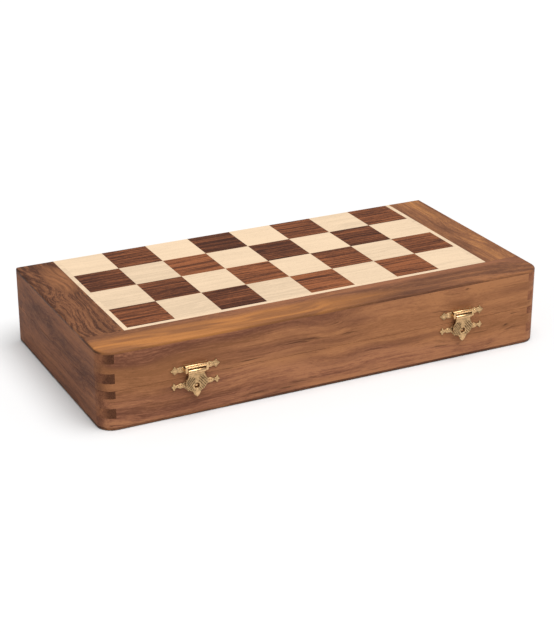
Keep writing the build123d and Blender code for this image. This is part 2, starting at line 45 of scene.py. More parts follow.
MM = 0.001
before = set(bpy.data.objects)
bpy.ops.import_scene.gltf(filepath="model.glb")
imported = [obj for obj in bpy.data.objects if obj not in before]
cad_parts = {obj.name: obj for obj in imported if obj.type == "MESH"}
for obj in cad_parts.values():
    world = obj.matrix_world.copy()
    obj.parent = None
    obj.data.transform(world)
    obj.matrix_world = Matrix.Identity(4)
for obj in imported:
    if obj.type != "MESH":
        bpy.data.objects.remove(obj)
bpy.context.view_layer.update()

# Sizes that the frame gives, in metres
FACE_LOW, FACE_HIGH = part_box("upper_front_border")
SQUARES_LOW, SQUARES_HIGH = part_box("upper_light_squares")
LENGTH = FACE_HIGH.x - FACE_LOW.x
FRONT = FACE_LOW.y
HEIGHT = FACE_HIGH.z
SQUARE = (SQUARES_HIGH.x - SQUARES_LOW.x) / 8
BACK = SQUARES_HIGH.y
DEPTH = BACK - FRONT
FRONT_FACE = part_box("lower_front_wall")[0].y
SEAM = HEIGHT / 2


# ---------------------------------------------------------------- settings


def colour_property(name, description, red, green, blue):
    """A colour given as a screen shows it, from 0 to 255."""
    return FloatVectorProperty(
        name=name,
        description=description,
        default=(red / 255, green / 255, blue / 255),
        min=0.0,
        max=1.0,
        size=3,
        subtype="COLOR_GAMMA",
    )


def length_property(name, description, millimetres):
    """A length, given in millimetres."""
    return FloatProperty(name=name, description=description, default=millimetres * MM, unit="LENGTH")


class WoodSettings(bpy.types.PropertyGroup):
    """Colours of the woods."""

    wall_dark: colour_property("Wall Dark", "Darkest bands of the walls", 112, 70, 52)
    wall_middle: colour_property("Wall Middle", "Body colour of the walls", 144, 94, 69)
    wall_light: colour_property("Wall Light", "Lightest bands of the walls", 172, 117, 82)
    wall_gold: colour_property("Wall Gold", "Golden zones of the walls", 176, 120, 72)
    # Partly the end wall's own wood and partly painted shade: these tones are darker than the walls' because
    # the left wall faces away from the light, while the right wall keeps the walls' tones.
    end_shaded_dark: colour_property("End Wall Dark", "Darkest bands of the end walls", 92, 58, 43)
    end_shaded_middle: colour_property("End Wall Middle", "Body colour of the end walls", 128, 83, 60)
    end_shaded_light: colour_property("End Wall Light", "Lightest bands of the end walls", 148, 98, 68)
    strip_dark: colour_property("Strip Dark", "Darkest bands of the board's strips", 84, 52, 37)
    strip_middle: colour_property("Strip Middle", "Body colour of the board's strips", 108, 70, 49)
    strip_light: colour_property("Strip Light", "Lightest bands of the board's strips", 148, 98, 64)
    # Painted highlight: a golden zone painted along the front strip's rounded front edge, where it catches
    # the light.
    edge_highlight: colour_property("Sapwood", "Golden sapwood in the front strip", 176, 116, 64)
    maple: colour_property("Maple", "Light squares and stringing", 212, 187, 157)
    rosewood_dark: colour_property("Rosewood Dark", "Dark lines of the dark squares", 60, 32, 22)
    rosewood_light: colour_property("Rosewood Light", "Light lines of the dark squares", 144, 86, 53)
    boxwood: colour_property("Boxwood", "Light chessmen", 196, 158, 104)


class MetalSettings(bpy.types.PropertyGroup):
    """Sizes and colours of the brass."""

    brass: colour_property("Brass", "Stamped latch brass", 224, 184, 134)
    tarnish: colour_property("Tarnish", "Brown in the hollows of the stamping", 92, 70, 42)
    reed_gap: length_property("Reed Spacing", "From one reed of the tongue to the next", 1.25)
    reed_depth: length_property("Reed Depth", "Depth of the tongue's reeds", 0.3)
    nail_rise: length_property("Nail Rise", "Height of a nail's round head", 0.42)
    nail_shank: length_property("Nail Shank", "Radius of a nail's shank", 0.5)
    nail_segments: IntProperty(
        name="Nail Segments", description="Facets round a nail's head", default=24, min=8
    )


class InsertSettings(bpy.types.PropertyGroup):
    """Sizes and colour of the velvet inserts."""

    velvet: colour_property("Velvet", "Velvet over the foam", 22, 66, 44)
    felt: colour_property("Felt", "Felt under the chessmen", 34, 92, 52)
    shoulder: length_property("Shoulder", "Rounding of the velvet where it turns down into a pocket", 2.6)
    grid: length_property("Grid", "Widest spacing of the velvet's mesh", 3.0)
    clearance: length_property("Clearance", "Round each man in its pocket", 0.4)
    felt_thickness: length_property("Felt Thickness", "Felt under a man's base", 0.7)
    base_share: FloatProperty(
        name="Base Share",
        description="Wide stretch of a pocket, as a share of the man's height",
        default=0.2,
    )
    waist: FloatProperty(
        name="Waist", description="Narrow stretch of a pocket, as a share of the base", default=0.7
    )
    trough_width: length_property("Trough Width", "Width of the finger trough", 22.0)
    trough_inset: length_property("Trough Inset", "From the insert's ends to the trough", 3.75)
    trough_rise: length_property("Trough Rise", "Foam left under the trough", 3.5)


class StageSettings(bpy.types.PropertyGroup):
    """Camera, floor and lights."""

    azimuth: FloatProperty(
        name="Azimuth",
        description="Camera's turn from straight in front",
        default=math.radians(-26.405),
        subtype="ANGLE",
    )
    elevation: FloatProperty(
        name="Elevation",
        description="Camera's height above the floor, as an angle",
        default=math.radians(22.974),
        subtype="ANGLE",
    )
    distance: FloatProperty(
        name="Distance", description="From the camera to its aim", default=0.9819, unit="LENGTH"
    )
    aim: FloatVectorProperty(
        name="Aim",
        description="What the camera looks at, from the middle of the closed box",
        default=(-0.0357, -0.0705, 0.025),
        size=3,
        subtype="TRANSLATION",
    )
    lens: FloatProperty(name="Lens", description="Focal length", default=94.06, unit="CAMERA")
    key_power: FloatProperty(name="Key Light", description="Strength of the main light", default=3.5)
    key_softness: FloatProperty(
        name="Key Softness",
        description="Breadth of the main light",
        default=math.radians(50),
        subtype="ANGLE",
    )
    key_direction: FloatVectorProperty(
        name="Key Direction",
        description="Where the main light shines",
        default=(-0.12, 0.24, -1.0),
        size=3,
        subtype="DIRECTION",
    )
    sky: FloatProperty(name="Sky", description="Strength of the even light", default=0.38)


# ---------------------------------------------------------------- shader recipes


def linear(colour):
    """A screen colour as the linear one that a shader takes."""
    return tuple(Color(colour).from_srgb_to_scene_linear()) + (1.0,)


def add_node(tree, kind, settings, sockets):
    """Add a node to a tree: its settings first, then its sockets, each linked or set."""
    node = tree.nodes.new(kind)
    for name, value in settings.items():
        setattr(node, name, value)
    for key, value in sockets.items():
        if isinstance(value, bpy.types.NodeSocket):
            tree.links.new(value, node.inputs[key])
        else:
            node.inputs[key].default_value = value
    return node


class Value:
    """A socket of a recipe's tree. Python arithmetic on it adds Math nodes."""

    def __init__(self, recipe, socket):
        self.recipe = recipe
        self.socket = socket

    def maths(self, operation, *values, clamp=False):
        settings = {"operation": operation, "use_clamp": clamp}
        return self.recipe.node("ShaderNodeMath", settings, dict(enumerate(values)))[0]

    def __add__(self, other):
        return self.maths("ADD", self, other)

    __radd__ = __add__

    def __sub__(self, other):
        return self.maths("SUBTRACT", self, other)

    def __rsub__(self, other):
        return self.maths("SUBTRACT", other, self)

    def __mul__(self, other):
        return self.maths("MULTIPLY", self, other)

    __rmul__ = __mul__

    def __truediv__(self, other):
        return self.maths("DIVIDE", self, other)

    def __abs__(self):
        return self.maths("ABSOLUTE", self)

    def floor(self):
        return self.maths("FLOOR", self)

    def power(self, exponent):
        return self.maths("POWER", self, exponent)

    def between(self, low, high):
        """0 at or below low, 1 at or above high, and a smooth rise between."""
        sockets = {"Value": self, "From Min": low, "From Max": high}
        return self.recipe.node("ShaderNodeMapRange", {"interpolation_type": "SMOOTHSTEP"}, sockets)[0]


class Recipe:
    """One material: its node tree, its shader and places in millimetres."""

    def __init__(self, name):
        self.material = bpy.data.materials.new(name)
        self.material.use_nodes = True
        self.tree = self.material.node_tree
        self.tree.nodes.clear()
        self.shader = self.tree.nodes.new("ShaderNodeBsdfPrincipled")
        output = self.tree.nodes.new("ShaderNodeOutputMaterial")
        self.tree.links.new(self.shader.outputs[0], output.inputs["Surface"])
        coordinates = self.node("ShaderNodeTexCoord", {}, {}, all_outputs=True)
        self.place = self.scaled(coordinates["Object"], 1 / MM)
        self.facing = coordinates["Normal"]

    def put(self, socket, value):
        """Link a value to a socket, or set it."""
        if isinstance(value, Value):
            self.tree.links.new(value.socket, socket)
        else:
            socket.default_value = value

    def node(self, kind, settings, sockets, all_outputs=False):
        """Add a node with its settings and its sockets' values, and give back its outputs."""
        given = {key: value.socket if isinstance(value, Value) else value for key, value in sockets.items()}
        node = add_node(self.tree, kind, settings, given)
        if all_outputs:
            return {output.name: Value(self, output) for output in node.outputs}
        return [Value(self, output) for output in node.outputs if output.enabled]

    def vector(self, operation, first, second):
        return self.node("ShaderNodeVectorMath", {"operation": operation}, {0: first, 1: second})[0]

    def scaled(self, vector, factor):
        return self.vector("MULTIPLY", vector, (factor, factor, factor))

    def parts(self, vector):
        return self.node("ShaderNodeSeparateXYZ", {}, {0: vector})

    def joined(self, x, y, z):
        return self.node("ShaderNodeCombineXYZ", {}, {0: x, 1: y, 2: z})[0]

    def noise(self, place, detail=2.0, roughness=0.5, distortion=0.0):
        sockets = {"Vector": place, "Scale": 1.0, "Detail": detail}
        sockets |= {"Roughness": roughness, "Distortion": distortion}
        return self.node("ShaderNodeTexNoise", {}, sockets)[0]

    def blend(self, factor, first, second, kind="MIX"):
        """Mix two colours, or blend the second over the first in another way."""
        settings = {"data_type": "RGBA", "blend_type": kind}
        node = add_node(self.tree, "ShaderNodeMix", settings, {})
        self.put(node.inputs[0], factor)
        self.put(node.inputs[6], first)
        self.put(node.inputs[7], second)
        return Value(self, node.outputs[2])

    def ramp(self, factor, stops):
        """A colour ramp through (position, colour) stops."""
        node = self.tree.nodes.new("ShaderNodeValToRGB")
        elements = node.color_ramp.elements
        while len(elements) < len(stops):
            elements.new(0.5)
        for element, (position, colour) in zip(elements, stops):
            element.position = position
            element.color = colour
        self.put(node.inputs[0], factor)
        return Value(self, node.outputs[0])

    def bump(self, height, strength, depth):
        """Bump from a height between 0 and 1, of a depth in metres."""
        sockets = {"Strength": strength, "Distance": depth, "Height": height}
        self.put(self.shader.inputs["Normal"], self.node("ShaderNodeBump", {}, sockets)[0])

    def finish(self, **sockets):
        for name, value in sockets.items():
            self.put(self.shader.inputs[name.replace("_", " ").title().replace("Ior", "IOR")], value)
        return self.material


def wood(
    name,
    along,
    tones,
    seed=0.0,
    accent=None,
    dashes=0.0,
    streaks=0.25,
    wave=6.0,
    line_gap=5.0,
    stretch=1.0,
    cells=False,
    gloss=0.5,
    patch=None,
    arcs=0.0,
    contrast=1.0,
    end_grain=0.8,
    shine=0.08,
):
    """Timber with its grain along X or Y: broad bands, growth lines, streaks, dashes and pores.

    tones are the dark, middle and light colours, and accent is (colour, amount) for zones of another
    hue. line_gap is the width of a growth line in millimetres, and stretch shortens the grain's run.
    With cells, each square of the board is its own piece of veneer. patch is (colour, x, y, reach x,
    reach y), one zone of another colour, in metres. arcs bends the lines into the arches of a crown cut.
    """
    r = Recipe(name)
    place = r.place
    lift = 0.0
    if cells:
        x, y, z = r.parts(place)
        side = SQUARE / MM
        column = (x / side).floor()
        row = ((y - BACK / MM) / side).floor()
        picks = r.node("ShaderNodeTexWhiteNoise", {}, {0: r.joined(column, row, seed)}, all_outputs=True)
        place = r.vector("ADD", place, r.scaled(picks["Color"], 400.0))
        lift = (picks["Value"] - 0.5) * 0.45
    x, y, z = r.parts(place)
    run, across = (x, y) if along == "X" else (y, x)
    run = run * stretch

    def noise(run_scale, cross_scale, start, **more):
        spot = r.joined(run * run_scale + start + seed, side_way * cross_scale, up_way * cross_scale)
        return r.noise(spot, **more)

    side_way, up_way = across, z
    wander = noise(0.008, 0.012, 3.1) - 0.5
    sway = noise(0.02, 0.03, 9.7, detail=1.0) - 0.5
    bend = wander * (5 * wave) + sway * wave
    if arcs:
        swell = r.noise(r.scaled(r.place, 0.022), detail=1.0) - 0.5
        bend = bend + swell * arcs
    side_way = across + bend
    up_way = z + bend
    broad = noise(0.006, 0.03, 21.0)
    lines = noise(0.006, 1 / line_gap, 5.0, detail=3.0, roughness=0.55)
    fibre = noise(0.03, 5 / line_gap, 13.0, detail=3.0, roughness=0.7)
    speckle = noise(0.25, 1.6, 29.0, detail=2.0, roughness=0.8)
    pores = noise(0.22, 3.2, 33.0, detail=1.0).between(0.60, 0.74)
    flame = noise(0.007, 0.6 / line_gap, 47.0, detail=3.0).between(0.52, 0.68)
    drift = 0.35 if cells else 1.0
    tone = (broad - 0.5) * drift + (lines - 0.5) * 1.2 + (fibre - 0.5) * 0.9 + (speckle - 0.5) * 0.6
    tone = tone * contrast + 0.5 + lift
    dark, middle, light = (linear(colour) for colour in tones)
    colour = r.ramp(tone, ((0.15, dark), (0.5, middle), (0.85, light)))
    if accent:
        zones = noise(0.005, 0.035, 61.0, detail=3.0).between(0.48, 0.68)
        colour = r.blend(zones * accent[1], colour, linear(accent[0]))
    # On the front strip the patch is a painted highlight where the rounded front edge catches the light; on
    # the left strip it is the lighter wood of its arches.
    if patch:
        patch_colour, patch_x, patch_y, reach_x, reach_y = patch
        px, py, pz = r.parts(r.place)
        off_x = abs(px - patch_x / MM) / (reach_x / MM)
        off_y = abs(py + wander * 16 - patch_y / MM) / (reach_y / MM)
        near = 1 - (off_x.power(2) + off_y.power(2)).between(0.2, 1.1)
        light_patch = r.blend(0.7 * lines.between(0.35, 0.65), linear(patch_colour), middle)
        colour = r.blend(near * 0.9, colour, light_patch)
    deep = tuple(0.35 * channel for channel in dark[:3]) + (1.0,)
    colour = r.blend(flame * streaks, colour, dark)
    colour = r.blend(pores * 0.25, colour, deep)
    if dashes:
        rows = noise(0.006, 0.08, 83.0).between(0.44, 0.58)
        marks = noise(0.022, 0.5, 71.0, detail=2.5, roughness=0.6).between(0.58, 0.76) * rows
        colour = r.blend(marks * dashes, colour, deep)
    nx, ny, nz = r.parts(r.facing)
    end_face = abs(nx if along == "X" else ny).between(0.62, 0.95)
    end_spots = r.noise(r.scaled(place, 1.3), detail=3.0, roughness=0.7)
    end_colour = r.blend(end_spots.between(0.35, 0.7), deep, dark)
    colour = r.blend(end_face * end_grain, colour, end_colour)
    rough = gloss + (fibre - 0.5) * 0.2 + pores * 0.1 + end_face * 0.1
    r.bump(fibre * 0.4 - pores * 0.6 + lines * 0.2, 0.2, 0.08 * MM)
    r.finish(specular_ior_level=shine)
    return r.finish(base_color=colour, roughness=rough)


def brass(name, colour, tarnish, low_relief=True):
    """Stamped brass: bright on what stands proud, brown in the hollows, faintly scratched."""
    r = Recipe(name)
    mottling = r.noise(r.scaled(r.place, 0.7), detail=4.0, roughness=0.65)
    grime = mottling.between(0.42, 0.7) * 0.45
    if low_relief:
        attribute = r.node("ShaderNodeAttribute", {"attribute_name": "hollow"}, {}, all_outputs=True)
        hollows = grime + attribute["Fac"] * 0.75
        grime = hollows.maths("MINIMUM", hollows, 1.0)
    base = r.blend(grime, linear(colour), linear(tarnish))
    scratches = r.noise(r.vector("MULTIPLY", r.place, (0.8, 0.8, 9.0)), detail=2.0)
    r.bump(scratches * 0.3 + mottling, 0.25, 0.05 * MM)
    r.finish(metallic=1.0 - grime * 0.35)
    return r.finish(base_color=base, roughness=0.27 + grime * 0.3 + (scratches - 0.5) * 0.12)


def pile(name, colour):
    """Velvet or felt: short pile that catches light at its edges, brushed in patches."""
    r = Recipe(name)
    fine = r.noise(r.scaled(r.place, 2.6), detail=3.0, roughness=0.8)
    brushed = r.noise(r.vector("MULTIPLY", r.place, (0.035, 0.02, 0.05)), detail=3.0, distortion=1.2)
    base = linear(colour)
    dark = tuple(0.45 * channel for channel in base[:3]) + (1.0,)
    light = tuple(min(1.0, 2.09 * channel) for channel in base[:3]) + (1.0,)
    shade = (fine - 0.5) * 0.9 + (brushed - 0.5) + 0.5
    r.bump(fine, 0.5, 0.25 * MM)
    tint = tuple(0.5 + 0.5 * channel for channel in colour) + (1.0,)
    r.finish(sheen_weight=0.35, sheen_roughness=0.4, sheen_tint=tint, specular_ior_level=0.05)
    return r.finish(base_color=r.ramp(shade, ((0.15, dark), (0.5, base), (0.9, light))), roughness=0.92)


def put_on(material, *nodes):
    """Give CAD nodes one material."""
    for node in nodes:
        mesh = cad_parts[node].data
        mesh.materials.clear()
        mesh.materials.append(material)


# ---------------------------------------------------------------- mesh helpers


def new_piece(name, mesh, body, slot, material, *replaced):
    """Link a finished mesh, let it ride on its body and stand for CAD nodes."""
    piece = bpy.data.objects.new(name, mesh)
    bpy.context.scene.collection.objects.link(piece)
    mesh.materials.append(material)
    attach(piece, body)
    if replaced:
        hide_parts(*replaced)
    return piece


def mesh_from(name, build, sharp=40.0):
    """Build a mesh with bmesh, its normals outwards, smooth but for edges sharper than an angle."""
    bm = bmesh.new()
    build(bm)
    bmesh.ops.remove_doubles(bm, verts=bm.verts, dist=1e-7)
    bmesh.ops.recalc_face_normals(bm, faces=bm.faces)
    mesh = bpy.data.meshes.new(name)
    bm.to_mesh(mesh)
    bm.free()
    mesh.shade_smooth()
    mesh.set_sharp_from_angle(angle=math.radians(sharp))
    return mesh


def lathe(bm, profile, origin, axis, across, segments=40):
    """Turn a profile of (radius, height) points about an axis from origin; radius 0 closes a pole."""
    axis, across = Vector(axis), Vector(across)
    third = axis.cross(across)
    turns = [2 * math.pi * i / segments for i in range(segments)]
    spokes = [(math.cos(t), math.sin(t)) for t in turns]
    rings = []
    for radius, height in profile:
        centre = Vector(origin) + axis * height
        if radius <= 0:
            rings.append([bm.verts.new(centre)])
            continue
        rings.append([bm.verts.new(centre + radius * (c * across + d * third)) for c, d in spokes])
    for low, high in zip(rings, rings[1:]):
        for i in range(segments):
            j = (i + 1) % segments
            corners = [low[i % len(low)], low[j % len(low)], high[j % len(high)], high[i % len(high)]]
            face = list(dict.fromkeys(corners))
            if len(face) > 2:
                bm.faces.new(face)


def arc(centre_u, centre_v, radius, start, end, steps):
    """Points of an arc, with angles in degrees."""
    turns = [math.radians(start + (end - start) * i / steps) for i in range(steps + 1)]
    return [(centre_u + radius * math.cos(t), centre_v + radius * math.sin(t)) for t in turns]


def curved_outline(corners, spacing):
    """A closed outline through corners (u, v, bulge): each side bows out to its left by bulge."""
    points = []
    for (u0, v0, bulge), (u1, v1, _) in zip(corners, corners[1:] + corners[:1]):
        run = math.hypot(u1 - u0, v1 - v0)
        steps = max(2, round((run + 2 * abs(bulge)) / spacing))
        left_u, left_v = (v0 - v1) / run, (u1 - u0) / run
        for i in range(steps):
            t = i / steps
            bow = 4 * bulge * t * (1 - t)
            points.append((u0 + (u1 - u0) * t + left_u * bow, v0 + (v1 - v0) * t + left_v * bow))
    return points


def mirrored(half):
    """A whole outline from the corners of its right half, top to bottom, its ends on the middle line."""
    left = []
    for (u, v, _), (_, _, bulge) in zip(half[::-1], half[-2::-1] + half[:1]):
        left.append((-u, v, bulge))
    return half[:-1] + left[:-1]


def inside(points, outline):
    """Which points lie inside a closed outline."""
    x, y = points[:, 0], points[:, 1]
    result = np.zeros(len(points), bool)
    x1, y1 = outline[-1]
    for x2, y2 in outline:
        crosses = (y2 > y) != (y1 > y)
        level = (x1 - x2) * (y - y2) / ((y1 - y2) or 1e-12) + x2
        result ^= crosses & (x < level)
        x1, y1 = x2, y2
    return result


def edge_distance(points, outline):
    """How far each point is from the nearest side of a closed outline."""
    ends = np.roll(outline, -1, axis=0)
    best = np.full(len(points), 1e9)
    for (ax, ay), (bx, by) in zip(outline, ends):
        side = np.array([bx - ax, by - ay])
        along = ((points - (ax, ay)) @ side) / max(side @ side, 1e-12)
        nearest = np.clip(along, 0, 1)[:, None] * side + (ax, ay)
        best = np.minimum(best, np.hypot(*(points - nearest).T))
    return best


def stamped(bm, outline, holes, relief, back, grid, place, mirrored_back=False):
    """A stamped plate: flat behind, its front at relief(x, z, distance to the edge) from the back.

    outline and holes are loops of (x, z) in millimetres, and place maps (x, out, z) to a point.
    With mirrored_back the back has the same relief as the front, as on a carved head.
    The hollow layer holds how far a spot lies under the highest relief, for the tarnish.
    """
    loops = [np.array(outline)] + [np.array(hole) for hole in holes]
    low, high = loops[0].min(0), loops[0].max(0)
    ticks = [np.arange(low[i] + grid / 2, high[i], grid) for i in (0, 1)]
    cloud = np.stack(np.meshgrid(*ticks), -1).reshape(-1, 2)
    keep = inside(cloud, loops[0])
    for hole in loops[1:]:
        keep &= ~inside(cloud, hole)
    clear = np.min([edge_distance(cloud, loop) for loop in loops], axis=0) > 0.45 * grid
    points = [Vector(p) for loop in loops for p in loop] + [Vector(p) for p in cloud[keep & clear]]
    sides, start = [], 0
    for loop in loops:
        sides += [(start + i, start + (i + 1) % len(loop)) for i in range(len(loop))]
        start += len(loop)
    flat, _, triangles, *_ = delaunay_2d_cdt(points, sides, [], 0, 1e-6)
    flat = np.array([tuple(p) for p in flat])
    middles = np.array([flat[list(t)].mean(0) for t in triangles])
    wanted = inside(middles, loops[0])
    for hole in loops[1:]:
        wanted &= ~inside(middles, hole)
    edge = np.min([edge_distance(flat, loop) for loop in loops], axis=0)
    rise = relief(flat[:, 0], flat[:, 1], edge)
    hollow = hollow_layer(bm)
    deepest = 1 - np.clip((rise - rise.min()) / max(np.ptp(rise), 1e-9), 0, 1)
    front = [bm.verts.new(place(x, back + up, z)) for (x, z), up in zip(flat, rise)]
    behind_at = back - rise if mirrored_back else np.full(len(flat), back)
    behind = [bm.verts.new(place(x, out, z)) for (x, z), out in zip(flat, behind_at)]
    for vertex, depth in zip(front, deepest):
        vertex[hollow] = float(depth)
    used, counts = [list(t) for t, ok in zip(triangles, wanted) if ok], {}
    for triangle in used:
        bm.faces.new([front[i] for i in triangle])
        bm.faces.new([behind[i] for i in reversed(triangle)])
        for a, b in zip(triangle, triangle[1:] + triangle[:1]):
            counts[(a, b)] = counts.get((a, b), 0) + 1
    for a, b in counts:
        if (b, a) not in counts:
            bm.faces.new((front[a], behind[a], behind[b], front[b]))
    for vertex in [v for v in front + behind if not v.link_faces]:
        bm.verts.remove(vertex)


def hollow_layer(bm):
    """The vertex layer that holds how deep a spot of the stamping lies."""
    return bm.verts.layers.float.get("hollow") or bm.verts.layers.float.new("hollow")


def bump_near(distance, width):
    """1 at no distance, falling smoothly to 0 at width."""
    return 0.5 + 0.5 * np.cos(math.pi * np.clip(distance / width, 0, 1))


def quarter_round(distance, radius):
    """How far a rounded edge lies under its face at a distance from its side."""
    near = 1 - np.clip(distance / radius, 0, 1)
    return radius * (1 - np.sqrt(np.maximum(1 - near**2, 0)))


# ---------------------------------------------------------------- board


class CHESS_OT_board(bpy.types.Operator):
    """Finish the walls, strips, stringing and squares in their woods"""

    bl_idname = "chess.board"
    bl_label = "Board and Box"

    def execute(self, context):
        s = context.scene.chess_woods
        wall = (s.wall_dark, s.wall_middle, s.wall_light)
        end = (s.end_shaded_dark, s.end_shaded_middle, s.end_shaded_light)
        strip = (s.strip_dark, s.strip_middle, s.strip_light)
        gold = (s.wall_gold, 0.4)
        # Painted highlight: a golden zone along the left part of the front strip's rounded front edge, where
        # it catches the light.
        highlight_zone = (s.edge_highlight, -0.25 * LENGTH, FRONT + 0.05 * DEPTH, 0.45 * LENGTH, 0.09 * DEPTH)
        long_look = {"line_gap": 6.0, "contrast": 1.45, "end_grain": 0.45, "streaks": 0.45}
        long_wall = wood("wall_wood", "X", wall, 2.0, accent=gold, dashes=0.9, **long_look)
        end_look = {"dashes": 0.3, "line_gap": 8.0, "shine": 0.03}
        # The left wall's darker tones are partly its own wood and partly painted shade of the side away from
        # the light; the right wall keeps the walls' tones.
        left_wall = wood("left_wall_shaded_wood", "Y", end, 7.0, contrast=1.3, **end_look)
        right_wall = wood("right_wall_wood", "Y", wall, 23.0, end_grain=0.15, **end_look)
        brown = (s.wall_middle, 0.6)
        front = wood("front_strip_wood", "X", strip, seed=4.0, accent=brown, dashes=0.4, patch=highlight_zone)
        under = wood("under_strip_wood", "X", strip, seed=31.0, accent=brown, dashes=0.4)
        between = tuple((a + b) / 2 for a, b in zip(s.strip_middle, s.strip_light))
        deeper = (tuple(0.75 * c for c in s.strip_dark), s.strip_dark, between)
        crown_x, crown_y = FACE_LOW.x + 0.06 * LENGTH, BACK - 0.22 * DEPTH
        arches = (s.strip_light, crown_x, crown_y, 0.03 * LENGTH, 0.2 * DEPTH)
        left_look = {"wave": 6.0, "line_gap": 2.2, "arcs": 22.0, "contrast": 1.5, "streaks": 0.4}
        left = wood("left_strip_wood", "Y", deeper, 11.0, patch=arches, **left_look)
        lighter = (s.strip_dark, between, s.wall_gold)
        right = wood("right_strip_wood", "Y", lighter, seed=15.0, line_gap=4.0, contrast=0.8)
        maple = (tuple(0.93 * c for c in s.maple), s.maple, tuple(min(1, 1.03 * c) for c in s.maple))
        line = wood("stringing_wood", "X", maple, seed=1.0, streaks=0.0, line_gap=4.0)
        pale_squares = {"line_gap": 2.5, "cells": True, "stretch": 2.0}
        light = wood("maple_squares", "X", maple, 6.0, streaks=0.1, wave=2.0, **pale_squares)
        middle = tuple((a + b) / 2 for a, b in zip(s.rosewood_dark, s.rosewood_light))
        rosewood = (s.rosewood_dark, middle, s.rosewood_light)
        squares = {"line_gap": 1.4, "cells": True, "stretch": 1.6, "contrast": 1.6}
        dark = wood("rosewood_squares", "X", rosewood, seed=17.0, streaks=0.8, wave=1.2, **squares)
        inner = wood("panel_wood", "X", end, seed=19.0, streaks=0.2)
        put_on(front, "upper_front_border")
        put_on(under, "lower_front_border")
        for half in ("lower", "upper"):
            put_on(long_wall, f"{half}_front_wall", f"{half}_back_wall")
            put_on(left_wall, f"{half}_left_wall")
            put_on(right_wall, f"{half}_right_wall")
            put_on(left, f"{half}_left_border")
            put_on(right, f"{half}_right_border")
            put_on(line, f"{half}_stringing")
            put_on(light, f"{half}_light_squares")
            put_on(dark, f"{half}_dark_squares")
            put_on(inner, f"{half}_base_panel")
        return {"FINISHED"}


class CHESS_OT_hinges(bpy.types.Operator):
    """Finish the hinges and their screws in satin brass"""

    bl_idname = "chess.hinges"
    bl_label = "Hinges"

    def execute(self, context):
        s = context.scene.chess_metal
        satin = brass("hinge_brass", s.brass, s.tarnish, low_relief=False)
        put_on(satin, "left_hinge_pin", "right_hinge_pin", "hinge_screws_lower", "hinge_screws_upper")
        for side in ("left", "right"):
            put_on(satin, f"{side}_hinge_lower_leaf", f"{side}_hinge_upper_leaf")
        return {"FINISHED"}


def men_woods(s):
    """The light and the dark wood of the chessmen."""
    pale = (tuple(0.85 * c for c in s.boxwood), s.boxwood, tuple(min(1, 1.08 * c) for c in s.boxwood))
    middle = tuple(0.62 * a + 0.38 * b for a, b in zip(s.rosewood_dark, s.rosewood_light))
    deep = (s.rosewood_dark, middle, s.rosewood_light)
    return {
        "light": wood("boxwood", "Y", pale, seed=23.0, streaks=0.06, wave=2.0, line_gap=2.5, gloss=0.3),
        "dark": wood("dark_men_wood", "Y", deep, seed=27.0, streaks=0.5, wave=3.0, line_gap=2.5, gloss=0.28),
    }


class CHESS_OT_chessmen(bpy.types.Operator):
    """Finish the turned chessmen in polished boxwood and rosewood, with felt under them"""

    bl_idname = "chess.chessmen"
    bl_label = "Chessmen"

    def execute(self, context):
        felt = pile("base_felt", context.scene.chess_inserts.felt)
        put_on(felt, "light_base_felts", "dark_base_felts")
        for colour, look in men_woods(context.scene.chess_woods).items():
            kinds = ("king", "queen", "bishops", "rooks", "pawns")
            put_on(look, *(f"{colour}_{kind}" for kind in kinds))
        return {"FINISHED"}


# ---------------------------------------------------------------- velvet inserts

MEN = {"king": 1, "queen": 1, "bishops": 2, "knights": 2, "rooks": 2, "pawns": 8}
OFFICERS = ("king", "queen", "bishops", "knights", "rooks")


def men_of(colour):
    """Kind, place along X, base's Y, head's direction, radius, height and axis Z of each man, in mm."""
    for kind, count in MEN.items():
        low, high = (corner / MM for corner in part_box(f"{colour}_{kind}"))
        radius, height = (high.z - low.z) / 2, high.y - low.y
        base_y, heading = (high.y, -1) if kind in OFFICERS else (low.y, 1)
        for x in np.linspace(low.x + radius, high.x - radius, count):
            yield kind, float(x), base_y, heading, radius, height, (low.z + high.z) / 2


def foam_cuts(colour, s):
    """The cuts in the foam: (x low, x high, y low, y high, radius or 0 if flat, axis or floor)."""
    clearance = s.clearance / MM
    ends = {True: [], False: []}
    cuts = []
    for kind, x, base_y, heading, radius, height, axis in men_of(colour):
        ends[heading > 0].append(base_y + heading * height)
    trough = (max(ends[True]) + min(ends[False])) / 2
    for kind, x, base_y, heading, radius, height, axis in men_of(colour):
        if axis > SEAM / MM:
            axis = HEIGHT / MM - axis
        behind = s.felt_thickness / MM + clearance
        wide = radius + clearance
        narrow = s.waist * radius + clearance
        reach = s.base_share * height + clearance
        stretches = (
            (wide, base_y - heading * behind, base_y + heading * reach),
            (narrow, base_y, trough),
        )
        for r, start, end in stretches:
            cuts.append((x - r, x + r, min(start, end), max(start, end), r, axis))
    half_width = s.trough_width / MM / 2
    low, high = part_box("lower_storage_insert")
    inset = s.trough_inset / MM
    floor = (low.z + s.trough_rise) / MM
    ends = (low.x / MM + inset, high.x / MM - inset)
    cuts.append((*ends, trough - half_width, trough + half_width, 0, floor))
    return cuts


